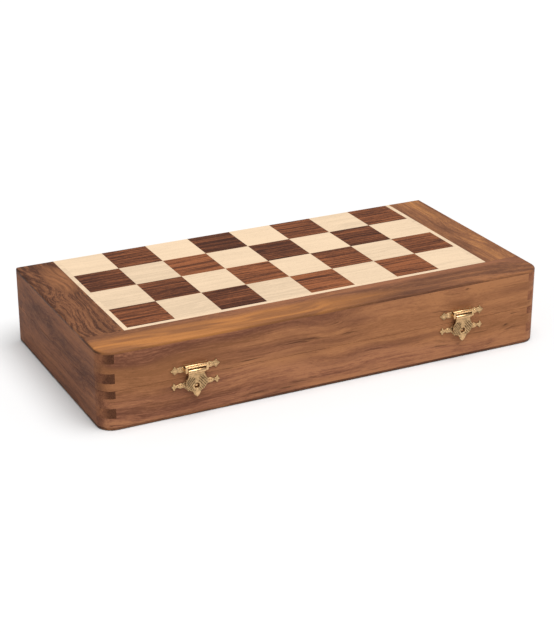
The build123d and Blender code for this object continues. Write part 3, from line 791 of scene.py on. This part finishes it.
def velvet_height(x, y, cuts, low, high, s):
    """Height of the velvet: the lowest of its cuts, rounded over where it turns down into them."""
    shoulder = s.shoulder / MM
    sway = np.sin(0.13 * x + 1.7 * np.sin(0.05 * y)) * np.sin(0.17 * y + 1.3 * np.sin(0.04 * x))
    top = high[2] - 0.12 + 0.12 * sway
    rim = np.minimum.reduce([x - low[0], high[0] - x, y - low[1], high[1] - y])
    height = top - quarter_round(rim, 1.5 * shoulder)
    for x0, x1, y0, y1, radius, level in cuts:
        out_x = np.maximum(np.maximum(x0 - x, x - x1) - 0.005, 0)
        out_y = np.maximum(np.maximum(y0 - y, y - y1) - 0.005, 0)
        away = np.hypot(out_x, out_y)
        in_y = np.minimum(y - y0, y1 - y)
        if radius:
            across = x - (x0 + x1) / 2
            floor = level - np.sqrt(np.maximum(radius**2 - across**2, 0))
            floor += quarter_round(in_y, shoulder)
        else:
            floor = level + quarter_round(np.minimum(in_y, np.minimum(x - x0, x1 - x)), 2 * shoulder)
        height = np.minimum(height, np.where(away > 0, top - quarter_round(away, shoulder), floor))
    return height


def velvet_lines(edges, low, high, rounds, s):
    """Grid lines along one direction: at and round every edge of a cut, and no wider than the grid."""
    shoulder = s.shoulder / MM
    steps = [shoulder * (1 - math.cos(math.radians(turn))) for turn in (25, 55, 90)]
    lines = [low, high] + [low + 1.5 * step for step in steps] + [high - 1.5 * step for step in steps]
    for edge, outward, filleted in edges:
        lines += [edge, edge + 0.02 * outward] + [edge + outward * step for step in steps]
        if filleted:
            lines += [edge - outward * step for step in steps]
    lines += rounds
    lines = np.unique(np.round(np.clip(lines, low, high), 3))
    kept = [lines[0]]
    for line in lines[1:]:
        gap = line - kept[-1]
        if gap < 0.015:
            continue
        extra = int(gap // (s.grid / MM))
        kept += [kept[-1] + gap * (i + 1) / (extra + 1) for i in range(extra)]
        kept.append(line)
    return np.array(kept)


def velvet_mesh(name, xs, ys, heights, bottom, flip):
    """A closed solid: a height over each crossing of the lines, straight sides and a flat bottom."""
    columns, rows = len(xs), len(ys)

    def spot(x, y, z):
        return (x * MM, y * MM, HEIGHT - z * MM if flip else z * MM)

    vertices = [spot(x, y, heights[i, j]) for i, x in enumerate(xs) for j, y in enumerate(ys)]
    faces = []
    for i in range(columns - 1):
        for j in range(rows - 1):
            a, b = i * rows + j, (i + 1) * rows + j
            faces.append((a, b, b + 1, a + 1))
    front = [(i, 0) for i in range(columns)]
    right = [(columns - 1, j) for j in range(1, rows)]
    back = [(i, rows - 1) for i in range(columns - 2, -1, -1)]
    left = [(0, j) for j in range(rows - 2, 0, -1)]
    round_about = front + right + back + left
    below = {place: len(vertices) + k for k, place in enumerate(round_about)}
    vertices += [spot(xs[i], ys[j], bottom) for i, j in round_about]
    for (i, j), (m, n) in zip(round_about, round_about[1:] + round_about[:1]):
        faces.append((i * rows + j, below[(i, j)], below[(m, n)], m * rows + n))
    last = rows - 1
    for i in range(1, columns - 2):
        faces.append((below[(i, 0)], below[(i, last)], below[(i + 1, last)], below[(i + 1, 0)]))
    faces.append([below[(1, 0)], *(below[(0, j)] for j in range(rows)), below[(1, last)]])
    far_side = [below[(columns - 1, j)] for j in reversed(range(rows))]
    faces.append([below[(columns - 2, last)], *far_side, below[(columns - 2, 0)]])

    def build(bm):
        made = bpy.data.meshes.new("made")
        made.from_pydata(vertices, [], faces)
        bm.from_mesh(made)
        bpy.data.meshes.remove(made)

    return mesh_from(name, build, sharp=55.0)


class CHESS_OT_inserts(bpy.types.Operator):
    """Cover the foam in velvet: soft shoulders into a pocket for every man and a finger trough"""

    bl_idname = "chess.inserts"
    bl_label = "Velvet Inserts"

    def execute(self, context):
        s = context.scene.chess_inserts
        velvet = pile("green_velvet", s.velvet)
        low, high = (np.array(corner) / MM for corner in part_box("lower_storage_insert"))
        for half, colour in (("lower", "dark"), ("upper", "light")):
            cuts = foam_cuts(colour, s)
            x_edges = {(c[i], (-1, 1)[i], not c[4]) for c in cuts for i in (0, 1)}
            y_edges = {(c[i + 2], (-1, 1)[i], True) for c in cuts for i in (0, 1)}
            turns = [math.radians(turn) for turn in (-64, -40, -20, 0, 20, 40, 64)]
            rounds = [(c[0] + c[1]) / 2 + c[4] * math.sin(turn) for c in cuts if c[4] for turn in turns]
            xs = velvet_lines(sorted(x_edges), low[0], high[0], rounds, s)
            ys = velvet_lines(sorted(y_edges), low[1], high[1], [], s)
            heights = velvet_height(*np.meshgrid(xs, ys, indexing="ij"), cuts, low, high, s)
            mesh = velvet_mesh(f"{half}_velvet_insert", xs, ys, heights, low[2], half == "upper")
            piece = new_piece(
                f"{half}_velvet_insert", mesh, f"{half}_half", "velvet", velvet, f"{half}_storage_insert"
            )
        return {"FINISHED"}


# ---------------------------------------------------------------- latches

# Places on a latch in mm: across from its middle, out from the front wall, up from the seam
NAIL_REACH = 9.6
NAIL_HOLE = 0.5
HASP_EAR = 5.4
CATCH_EAR = -4.8
KNOB_RISE = -5.5
KNOB_RADIUS = 1.1
KNOB_HOLE = 1.6
PIVOT_OUT = 2.4
PIVOT_RISE = 3.9
PIVOT_RADIUS = 0.7
CURL_RADII = (0.75, 1.45)


def on_front(latch_x):
    """Maps (x from the latch's middle, distance out from the front, z from the seam), in mm, to a point."""
    return lambda x, out, z: Vector((latch_x + x * MM, FRONT_FACE - out * MM, SEAM + z * MM))


def bevelled_bar(bm, section, start, end, place):
    """A bar along X with the section (out, z), its ends drawn in a little."""
    middle = np.mean(section, axis=0)
    inset = [tuple(middle + (np.array(point) - middle) * 0.82) for point in section]
    rings = [(inset, start), (section, start + 0.25), (section, end - 0.25), (inset, end)]
    loops = [[bm.verts.new(place(x, out, z)) for out, z in points] for points, x in rings]
    for low, high in zip(loops, loops[1:]):
        for i in range(len(low)):
            j = (i + 1) % len(low)
            bm.faces.new((low[i], low[j], high[j], high[i]))
    bm.faces.new(loops[0])
    bm.faces.new(loops[-1])


def along_x(bm, profile, out, z, place, segments=32):
    """Turn a profile of (radius, x) about a line along X at (out, z)."""
    origin = place(0, out, z)
    lathe(bm, [(r * MM, x * MM) for r, x in profile], origin, (1, 0, 0), (0, 0, 1), segments)


def circle(x, z, radius, count):
    """A closed loop round (x, z)."""
    return arc(x, z, radius, 0, 360 - 360 / count, count - 1)


class CHESS_OT_latches(bpy.types.Operator):
    """Make the stamped latches: housing, swinging tongue with its reeds and hole, and lower plate"""

    bl_idname = "chess.latches"
    bl_label = "Latches"

    def execute(self, context):
        s = context.scene.chess_metal
        metal = brass("latch_brass", s.brass, s.tarnish)
        for side in ("left", "right"):
            low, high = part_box(f"{side}_hasp_plate")
            place = on_front((low.x + high.x) / 2)
            makers = {
                "hasp_plate": (self.hasp_plate, "upper_half"),
                "hasp_tongue": (self.tongue, f"{side}_latch"),
                "catch_plate": (self.catch_plate, "lower_half"),
            }
            for name, (maker, body) in makers.items():
                mesh = mesh_from(f"{side}_stamped_{name}", lambda bm: maker(bm, place, s))
                new_piece(f"{side}_stamped_{name}", mesh, body, "antique_brass", metal, f"{side}_{name}")
        return {"FINISHED"}

    def hasp_plate(self, bm, place, s):
        """Star-ended ears, a rosette round each nail, and a two-ridged housing with the pivot bar."""
        half = [
            (0, 8.2, 0), (7.3, 8.2, -0.2), (8.3, 7.1, 0.4), (11.1, 6.7, -0.25), (13.1, 8.3, -0.2),
            (16.0, HASP_EAR, -0.2), (13.1, 2.5, -0.25), (11.1, 4.1, 0.4), (8.3, 3.7, -0.15),
            (7.3, 3.05, 0), (0, 2.5, 0),
        ]

        def relief(x, z, edge):
            away = np.hypot(np.abs(x) - NAIL_REACH, z - HASP_EAR)
            turn = np.arctan2(z - HASP_EAR, np.abs(x) - NAIL_REACH)
            petals = bump_near(np.abs(away - 1.4), 0.35) * (0.6 + 0.4 * np.cos(8 * turn))
            border = bump_near(np.abs(edge - 0.62), 0.22) * (away > 1.8)
            star = bump_near(np.abs(z - HASP_EAR), 0.45) * (np.abs(x) > 12.0) * (edge > 0.5)
            return 0.72 - quarter_round(edge, 0.3) + 0.12 * petals - 0.16 * border + 0.1 * star

        holes = [circle(x, HASP_EAR, NAIL_HOLE, 16) for x in (-NAIL_REACH, NAIL_REACH)]
        stamped(bm, curved_outline(mirrored(half), 0.35), holes, relief, 0.0, 0.24, place)
        top = [(0.6, 6.05), (2.55, 6.05)] + arc(2.8, 6.5, 0.46, -80, 75, 8) + [(2.62, 6.98)]
        top += arc(2.35, 7.5, 0.6, -35, 112, 8) + [(1.4, 8.1), (0.6, 8.2)]
        bevelled_bar(bm, top, -7.3, 7.3, place)
        lug = [(0.6, 3.1), (1.8, 3.05)] + arc(2.35, 3.95, 0.9, -90, 0, 8) + arc(2.35, 6.9, 0.9, 0, 70, 6)
        lug += [(1.2, 8.05), (0.6, 8.1)]
        for x in (-6.6, 6.6):
            bevelled_bar(bm, lug, x - 0.7, x + 0.7, place)
        bar = [(0, -6.4), (PIVOT_RADIUS, -6.4), (PIVOT_RADIUS, 6.4), (0, 6.4)]
        along_x(bm, bar, PIVOT_OUT, PIVOT_RISE, place)

    def tongue(self, bm, place, s):
        """A curl round the bar, a flat neck, a reeded shield with a rimmed hole and a plain leaf tip."""
        gap, depth = s.reed_gap / MM, s.reed_depth / MM
        half = [
            (0, 2.7, 0), (5.3, 2.7, 0), (5.3, 1.0, -0.12), (6.9, -2.0, 0.1), (6.9, -4.6, 0.2),
            (4.5, -8.2, -0.3), (2.5, -9.7, 0.35), (0, -12.9, 0),
        ]

        def relief(x, z, edge):
            away = np.hypot(x, z - KNOB_RISE)
            across = np.abs(x) * math.sin(math.radians(50)) + z * math.cos(math.radians(50))
            reeds = 0.5 - 0.5 * np.cos(2 * math.pi * across / gap)
            field = np.clip((np.abs(x) - 1.0) / 0.4, 0, 1) * np.clip((away - 2.5) / 0.3, 0, 1)
            field *= np.clip((0.6 - z) / 0.5, 0, 1) * np.clip((z + 8.6) / 0.5, 0, 1)
            field *= np.clip((edge - 0.35) / 0.3, 0, 1)
            rim = bump_near(np.abs(away - 2.05), 0.4)
            beads = sum(bump_near(np.hypot(x, z - at), 0.5) for at in (-0.4, -1.5, -2.6, -8.2))
            leaf = np.clip((-8.8 - z) / 1.5, 0, 1) * np.clip(edge / 1.6, 0, 1)
            smooth = 0.66 - quarter_round(edge, 0.3)
            return smooth - depth * reeds * field + 0.12 * rim + 0.14 * beads + 0.14 * leaf

        outline = curved_outline(mirrored(half), 0.3)
        stamped(bm, outline, [circle(0, KNOB_RISE, KNOB_HOLE, 32)], relief, 2.0, 0.2, place)
        inner, outer = CURL_RADII
        curl = [(inner, -5.6), (1.3, -5.6), (outer, -5.4), (outer, 5.4), (1.3, 5.6), (inner, 5.6)]
        along_x(bm, curl + curl[:1], PIVOT_OUT, PIVOT_RISE, place)

    def catch_plate(self, bm, place, s):
        """Beaded ears, a rosette round each nail and the domed knob that the tongue snaps over."""
        half = [
            (0, -1.6, 0), (6.0, -1.5, -0.25), (8.1, -3.3, 0.45), (11.2, -3.7, -0.05),
            (12.3, -3.9, -0.1), (12.9, -3.4, 1.0), (14.6, -3.4, -0.05), (14.7, -4.0, 0.85),
            (14.7, -5.6, -0.05), (14.6, -6.2, 1.0), (12.9, -6.2, -0.1), (12.3, -5.7, -0.05),
            (11.2, -5.9, 0.45), (8.1, -6.3, -0.3), (5.0, -9.1, 0.3), (0, -10.1, 0),
        ]

        def relief(x, z, edge):
            away = np.hypot(np.abs(x) - NAIL_REACH, z - CATCH_EAR)
            petals = bump_near(np.abs(away - 1.35), 0.35)
            border = bump_near(np.abs(edge - 0.62), 0.22) * (away > 1.8) * (np.abs(x) < 12)
            return 0.7 - quarter_round(edge, 0.35) + 0.12 * petals - 0.15 * border

        holes = [circle(x, CATCH_EAR, NAIL_HOLE, 16) for x in (-NAIL_REACH, NAIL_REACH)]
        stamped(bm, curved_outline(mirrored(half), 0.3), holes, relief, 0.0, 0.24, place)
        profile = [(0, 0.4), (KNOB_RADIUS, 0.4), (KNOB_RADIUS, 1.25)]
        for turn in (0.3, 0.6, 0.9, 1.2):
            profile.append((KNOB_RADIUS * math.cos(turn), 1.25 + 0.65 * math.sin(turn)))
        profile.append((0, 1.9))
        origin = place(0, 0, KNOB_RISE)
        lathe(bm, [(r * MM, out * MM) for r, out in profile], origin, (0, -1, 0), (1, 0, 0), 32)


def add_inputs(tree, sockets):
    """Named inputs of a geometry tree."""
    for name, kind in sockets.items():
        tree.interface.new_socket(name, in_out="INPUT", socket_type=kind)


def nail_tree():
    """Geometry nodes: a slightly tilted round-headed nail on each point, pointing out of the front."""
    tree = bpy.data.node_groups.new("nail_heads", "GeometryNodeTree")
    add_inputs(
        tree,
        {
            "Geometry": "NodeSocketGeometry",
            "Head Radius": "NodeSocketFloat",
            "Head Rise": "NodeSocketFloat",
            "Shank Radius": "NodeSocketFloat",
            "Shank Length": "NodeSocketFloat",
            "Segments": "NodeSocketInt",
            "Tilt": "NodeSocketFloat",
            "Material": "NodeSocketMaterial",
        },
    )
    tree.interface.new_socket("Geometry", in_out="OUTPUT", socket_type="NodeSocketGeometry")
    nodes, links = tree.nodes, tree.links
    given = nodes.new("NodeGroupInput").outputs

    def add(kind, settings, sockets):
        return add_node(tree, kind, settings, sockets).outputs

    ball = add("GeometryNodeMeshUVSphere", {}, {"Segments": given["Segments"], "Rings": 12, "Radius": 1.0})
    width = given["Head Radius"]
    dome = add("ShaderNodeCombineXYZ", {}, {0: width, 1: width, 2: given["Head Rise"]})
    head = add("GeometryNodeTransform", {}, {"Geometry": ball[0], "Scale": dome[0]})
    shank_sockets = {"Vertices": 16, "Radius": given["Shank Radius"], "Depth": given["Shank Length"]}
    shank = add("GeometryNodeMeshCylinder", {"fill_type": "NGON"}, shank_sockets)
    half = add("ShaderNodeMath", {"operation": "MULTIPLY"}, {0: given["Shank Length"], 1: -0.5})
    lower = add("ShaderNodeCombineXYZ", {}, {2: half[0]})
    set_back = add("GeometryNodeTransform", {}, {"Geometry": shank[0], "Translation": lower[0]})
    both = nodes.new("GeometryNodeJoinGeometry")
    links.new(head[0], both.inputs[0])
    links.new(set_back[0], both.inputs[0])
    least = add("ShaderNodeMath", {"operation": "MULTIPLY"}, {0: given["Tilt"], 1: -1.0})
    low = add("ShaderNodeCombineXYZ", {}, {0: least[0], 1: -math.pi, 2: least[0]})
    high = add("ShaderNodeCombineXYZ", {}, {0: given["Tilt"], 1: math.pi, 2: given["Tilt"]})
    bounds = {0: low[0], 1: high[0], "Seed": 5}
    random = add("FunctionNodeRandomValue", {"data_type": "FLOAT_VECTOR"}, bounds)
    spin = add("ShaderNodeVectorMath", {"operation": "ADD"}, {0: random[0], 1: (math.radians(90), 0, 0)})
    sockets = {"Points": given["Geometry"], "Instance": both.outputs[0], "Rotation": spin[0]}
    nails = add("GeometryNodeInstanceOnPoints", {}, sockets)
    real = add("GeometryNodeRealizeInstances", {}, {"Geometry": nails[0]})
    finished = add("GeometryNodeSetMaterial", {}, {"Geometry": real[0], "Material": given["Material"]})
    links.new(finished[0], nodes.new("NodeGroupOutput").inputs[0])
    return tree


class CHESS_OT_nails(bpy.types.Operator):
    """Set the round-headed nails of the latch plates"""

    bl_idname = "chess.nails"
    bl_label = "Latch Nails"

    def execute(self, context):
        s = context.scene.chess_metal
        metal = brass("nail_brass", s.brass, s.tarnish, low_relief=False)
        tree = nail_tree()
        for half in ("lower", "upper"):
            low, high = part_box(f"latch_nails_{half}")
            radius = (high.z - low.z) / 2
            places = []
            for side in ("left", "right"):
                plate_low, plate_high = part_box(f"{side}_hasp_plate")
                middle = (plate_low.x + plate_high.x) / 2
                reach = (high.x - radius) - abs(middle)
                places += [middle - reach, middle + reach]
            surface = low.y + s.nail_rise
            points = bpy.data.meshes.new("nail_places")
            points.from_pydata([(x, surface, (low.z + high.z) / 2) for x in places], [], [])
            holder = bpy.data.objects.new("nail_places", points)
            context.scene.collection.objects.link(holder)
            modifier = holder.modifiers.new("nails", "NODES")
            modifier.node_group = tree
            values = {
                "Head Radius": radius,
                "Head Rise": s.nail_rise,
                "Shank Radius": s.nail_shank,
                "Shank Length": high.y - surface,
                "Segments": s.nail_segments,
                "Tilt": math.radians(3),
                "Material": metal,
            }
            for name, value in values.items():
                modifier[tree.interface.items_tree[name].identifier] = value
            evaluated = holder.evaluated_get(context.evaluated_depsgraph_get())
            mesh = bpy.data.meshes.new_from_object(evaluated)
            bpy.data.objects.remove(holder)
            mesh.materials.clear()
            mesh.shade_smooth()
            mesh.set_sharp_from_angle(angle=math.radians(50))
            name = f"{half}_latch_nails"
            new_piece(name, mesh, f"{half}_half", "antique_brass", metal, f"latch_nails_{half}")
        return {"FINISHED"}


# ---------------------------------------------------------------- knights


def knight_foot(radius, height):
    """Profile of a knight's turned foot, as (radius, height) points, up to the top of its collar."""
    waist, neck, collar = 0.7 * radius, 0.5 * radius, 0.66 * radius
    cove_top, collar_top = 0.22 * height, 0.255 * height
    points = [(0, 0), (radius - 0.2, 0), (radius, 0.2), (radius, 0.05 * height)]
    for step in range(1, 7):
        t = math.radians(15 * step)
        points.append((radius * (0.84 + 0.16 * math.cos(t)), height * (0.05 + 0.05 * math.sin(t))))
    points += [(waist, 0.1 * height), (waist, 0.14 * height)]
    for step in range(1, 7):
        t = math.radians(15 * step)
        points.append((waist - (waist - neck) * math.sin(t), cove_top - 0.08 * height * math.cos(t)))
    for step in range(0, 9):
        t = math.radians(-90 + 22.5 * step)
        middle = (cove_top + collar_top) / 2
        points.append((collar - 0.5 + 0.5 * math.cos(t), middle + (collar_top - middle) * math.sin(t)))
    return points + [(0, collar_top)]


def knight_outline(radius, height):
    """Side view of a horse's head and neck over the foot: mane, ear, forehead, muzzle and chest."""
    corners = (
        (-0.42, 0.19, 0.0), (-0.47, 0.27, 0.25), (-0.56, 0.38, 0.3), (-0.60, 0.50, 0.3),
        (-0.58, 0.62, 0.3), (-0.50, 0.73, 0.3), (-0.38, 0.83, 0.25), (-0.25, 0.90, 0.15),
        (-0.12, 0.995, 0.12), (0.02, 0.905, -0.1), (0.14, 0.885, 0.1), (0.40, 0.79, -0.12),
        (0.62, 0.70, 0.15), (0.68, 0.645, 0.15), (0.62, 0.60, -0.06), (0.54, 0.575, 0.12),
        (0.38, 0.585, -0.1), (0.22, 0.565, 0.35), (0.02, 0.55, -0.45), (0.30, 0.40, 0.45),
        (0.48, 0.27, 0.0), (0.44, 0.19, 0.0),
    )
    return curved_outline([(u * radius, v * height, bulge) for u, v, bulge in corners], 0.45)


def knight_relief(radius, height):
    """Half the thickness of a knight's head: broad at the neck, with mane, jaw, eye and nostril."""

    def relief(x, z, edge):
        u, v = x / radius, z / height
        full = radius * np.interp(v, (0.2, 0.5, 0.75, 0.9, 1.0), (0.5, 0.42, 0.36, 0.28, 0.12))
        full *= np.interp(u, (0.2, 0.68), (1.0, 0.6))
        round_off = np.sqrt(np.clip(1 - (1 - np.clip(edge / (0.8 * full), 0, 1)) ** 2, 0, 1))
        thick = 0.15 + (full - 0.15) * round_off
        crest = np.interp(v, (0.2, 0.5, 0.75, 0.92), (-0.1, -0.32, -0.3, -0.1))
        mane = np.clip((crest - u) / 0.06, 0, 1)
        locks = 0.5 + 0.5 * np.cos(2 * math.pi * (v * height + 0.7 * x) / 2.3)
        thick += mane * (0.22 - 0.45 * locks) - 0.3 * bump_near(np.abs(u - crest), 0.06) * (v < 0.9)
        cheek = np.hypot((u - 0.12) / 0.24, (v - 0.70) / 0.1)
        thick += 0.3 * bump_near(cheek, 1.0) - 0.35 * bump_near(np.abs(cheek - 1.05), 0.2) * (u > 0)
        eye = np.hypot((u - 0.2) * radius, (v - 0.825) * height)
        thick += 0.5 * bump_near(eye, 0.5) - 0.35 * bump_near(np.abs(eye - 0.8), 0.35)
        nostril = np.hypot((u - 0.58) * radius, (v - 0.672) * height)
        mouth = np.hypot((u - 0.60) * radius, (v - 0.617) * height * 3)
        thick -= 0.4 * bump_near(nostril, 0.45) + 0.35 * bump_near(mouth, 1.1)
        return np.maximum(thick, 0.12)

    return relief


class CHESS_OT_knights(bpy.types.Operator):
    """Carve the knights: a horse's head with mane, ears and jaw on a turned foot"""

    bl_idname = "chess.knights"
    bl_label = "Knights"

    def execute(self, context):
        looks = men_woods(context.scene.chess_woods)
        for half, colour in (("lower", "dark"), ("upper", "light")):

            def build(bm):
                for kind, x0, base_y, heading, radius, height, axis in men_of(colour):
                    if kind != "knights":
                        continue

                    def place(x, out, z):
                        return Vector(((x0 + x) * MM, (base_y + heading * z) * MM, (axis + out) * MM))

                    foot = [(r * MM, h * MM) for r, h in knight_foot(radius, height)]
                    lathe(bm, foot, place(0, 0, 0), (0, heading, 0), (1, 0, 0), 56)
                    outline, relief = knight_outline(radius, height), knight_relief(radius, height)
                    stamped(bm, outline, [], relief, 0.0, 0.32, place, mirrored_back=True)

            mesh = mesh_from(f"{colour}_carved_knights", build, sharp=50.0)
            slot = "ebonised_rosewood" if colour == "dark" else "boxwood"
            look = looks[colour]
            new_piece(mesh.name, mesh, f"{half}_half", slot, look, f"{colour}_knights")
        return {"FINISHED"}


# ---------------------------------------------------------------- stage


class CHESS_OT_stage(bpy.types.Operator):
    """Set up the pale floor, the soft lights and the camera"""

    bl_idname = "chess.stage"
    bl_label = "Stage"

    def execute(self, context):
        s = context.scene.chess_stage
        scene = context.scene
        scene.view_settings.view_transform = "Standard"
        backdrop = Recipe("pale_floor")
        tint = backdrop.noise(backdrop.scaled(backdrop.place, 0.002), detail=1.0)
        paper = backdrop.ramp(tint, ((0.3, (0.70, 0.70, 0.70, 1.0)), (0.7, (0.72, 0.72, 0.72, 1.0))))
        backdrop.finish(base_color=paper, roughness=0.9, specular_ior_level=0.0)
        reach = 6.0

        def sheet(bm):
            bmesh.ops.create_grid(bm, x_segments=1, y_segments=1, size=reach)

        floor = bpy.data.objects.new("floor", mesh_from("floor", sheet))
        scene.collection.objects.link(floor)
        floor.data.materials.append(backdrop.material)
        world = bpy.data.worlds.new("even_light")
        world.use_nodes = True
        world.node_tree.nodes["Background"].inputs["Color"].default_value = (1.0, 1.0, 1.0, 1.0)
        world.node_tree.nodes["Background"].inputs["Strength"].default_value = s.sky
        scene.world = world
        middle = Vector((0, (FRONT + BACK) / 2, SEAM))
        light = bpy.data.lights.new("key", "SUN")
        light.energy = s.key_power
        light.angle = s.key_softness
        lamp = bpy.data.objects.new("key", light)
        lamp.rotation_euler = Vector(s.key_direction).to_track_quat("-Z", "Y").to_euler()
        scene.collection.objects.link(lamp)
        back = Vector(
            (
                math.sin(s.azimuth) * math.cos(s.elevation),
                -math.cos(s.azimuth) * math.cos(s.elevation),
                math.sin(s.elevation),
            )
        )
        camera = bpy.data.objects.new("camera", bpy.data.cameras.new("camera"))
        camera.data.lens = s.lens
        camera.location = middle + Vector(s.aim) + back * s.distance
        camera.rotation_euler = (-back).to_track_quat("-Z", "Y").to_euler()
        scene.collection.objects.link(camera)
        scene.camera = camera
        return {"FINISHED"}


class CHESS_PT_panel(bpy.types.Panel):
    """Lists the operators of the chess set"""

    bl_idname = "CHESS_PT_panel"
    bl_label = "Chess Set"
    bl_space_type = "VIEW_3D"
    bl_region_type = "UI"
    bl_category = "Chess Set"

    def draw(self, context):
        for operator in OPERATORS:
            self.layout.operator(operator.bl_idname)
        for group in GROUPS:
            settings = getattr(context.scene, group)
            for name in settings.__annotations__:
                self.layout.prop(settings, name)


GROUPS = {
    "chess_woods": WoodSettings,
    "chess_metal": MetalSettings,
    "chess_inserts": InsertSettings,
    "chess_stage": StageSettings,
}
OPERATORS = (
    CHESS_OT_board,
    CHESS_OT_hinges,
    CHESS_OT_chessmen,
    CHESS_OT_knights,
    CHESS_OT_inserts,
    CHESS_OT_latches,
    CHESS_OT_nails,
    CHESS_OT_stage,
)


def register():
    for cls in (*GROUPS.values(), *OPERATORS, CHESS_PT_panel):
        bpy.utils.register_class(cls)
    for name, group in GROUPS.items():
        setattr(bpy.types.Scene, name, PointerProperty(type=group))


def unregister():
    for name in GROUPS:
        delattr(bpy.types.Scene, name)
    for cls in (CHESS_PT_panel, *reversed(OPERATORS), *GROUPS.values()):
        bpy.utils.unregister_class(cls)


def main():
    register()
    for operator in OPERATORS:
        group, name = operator.bl_idname.split(".")
        getattr(getattr(bpy.ops, group), name)()


if __name__ == "__main__":
    main()
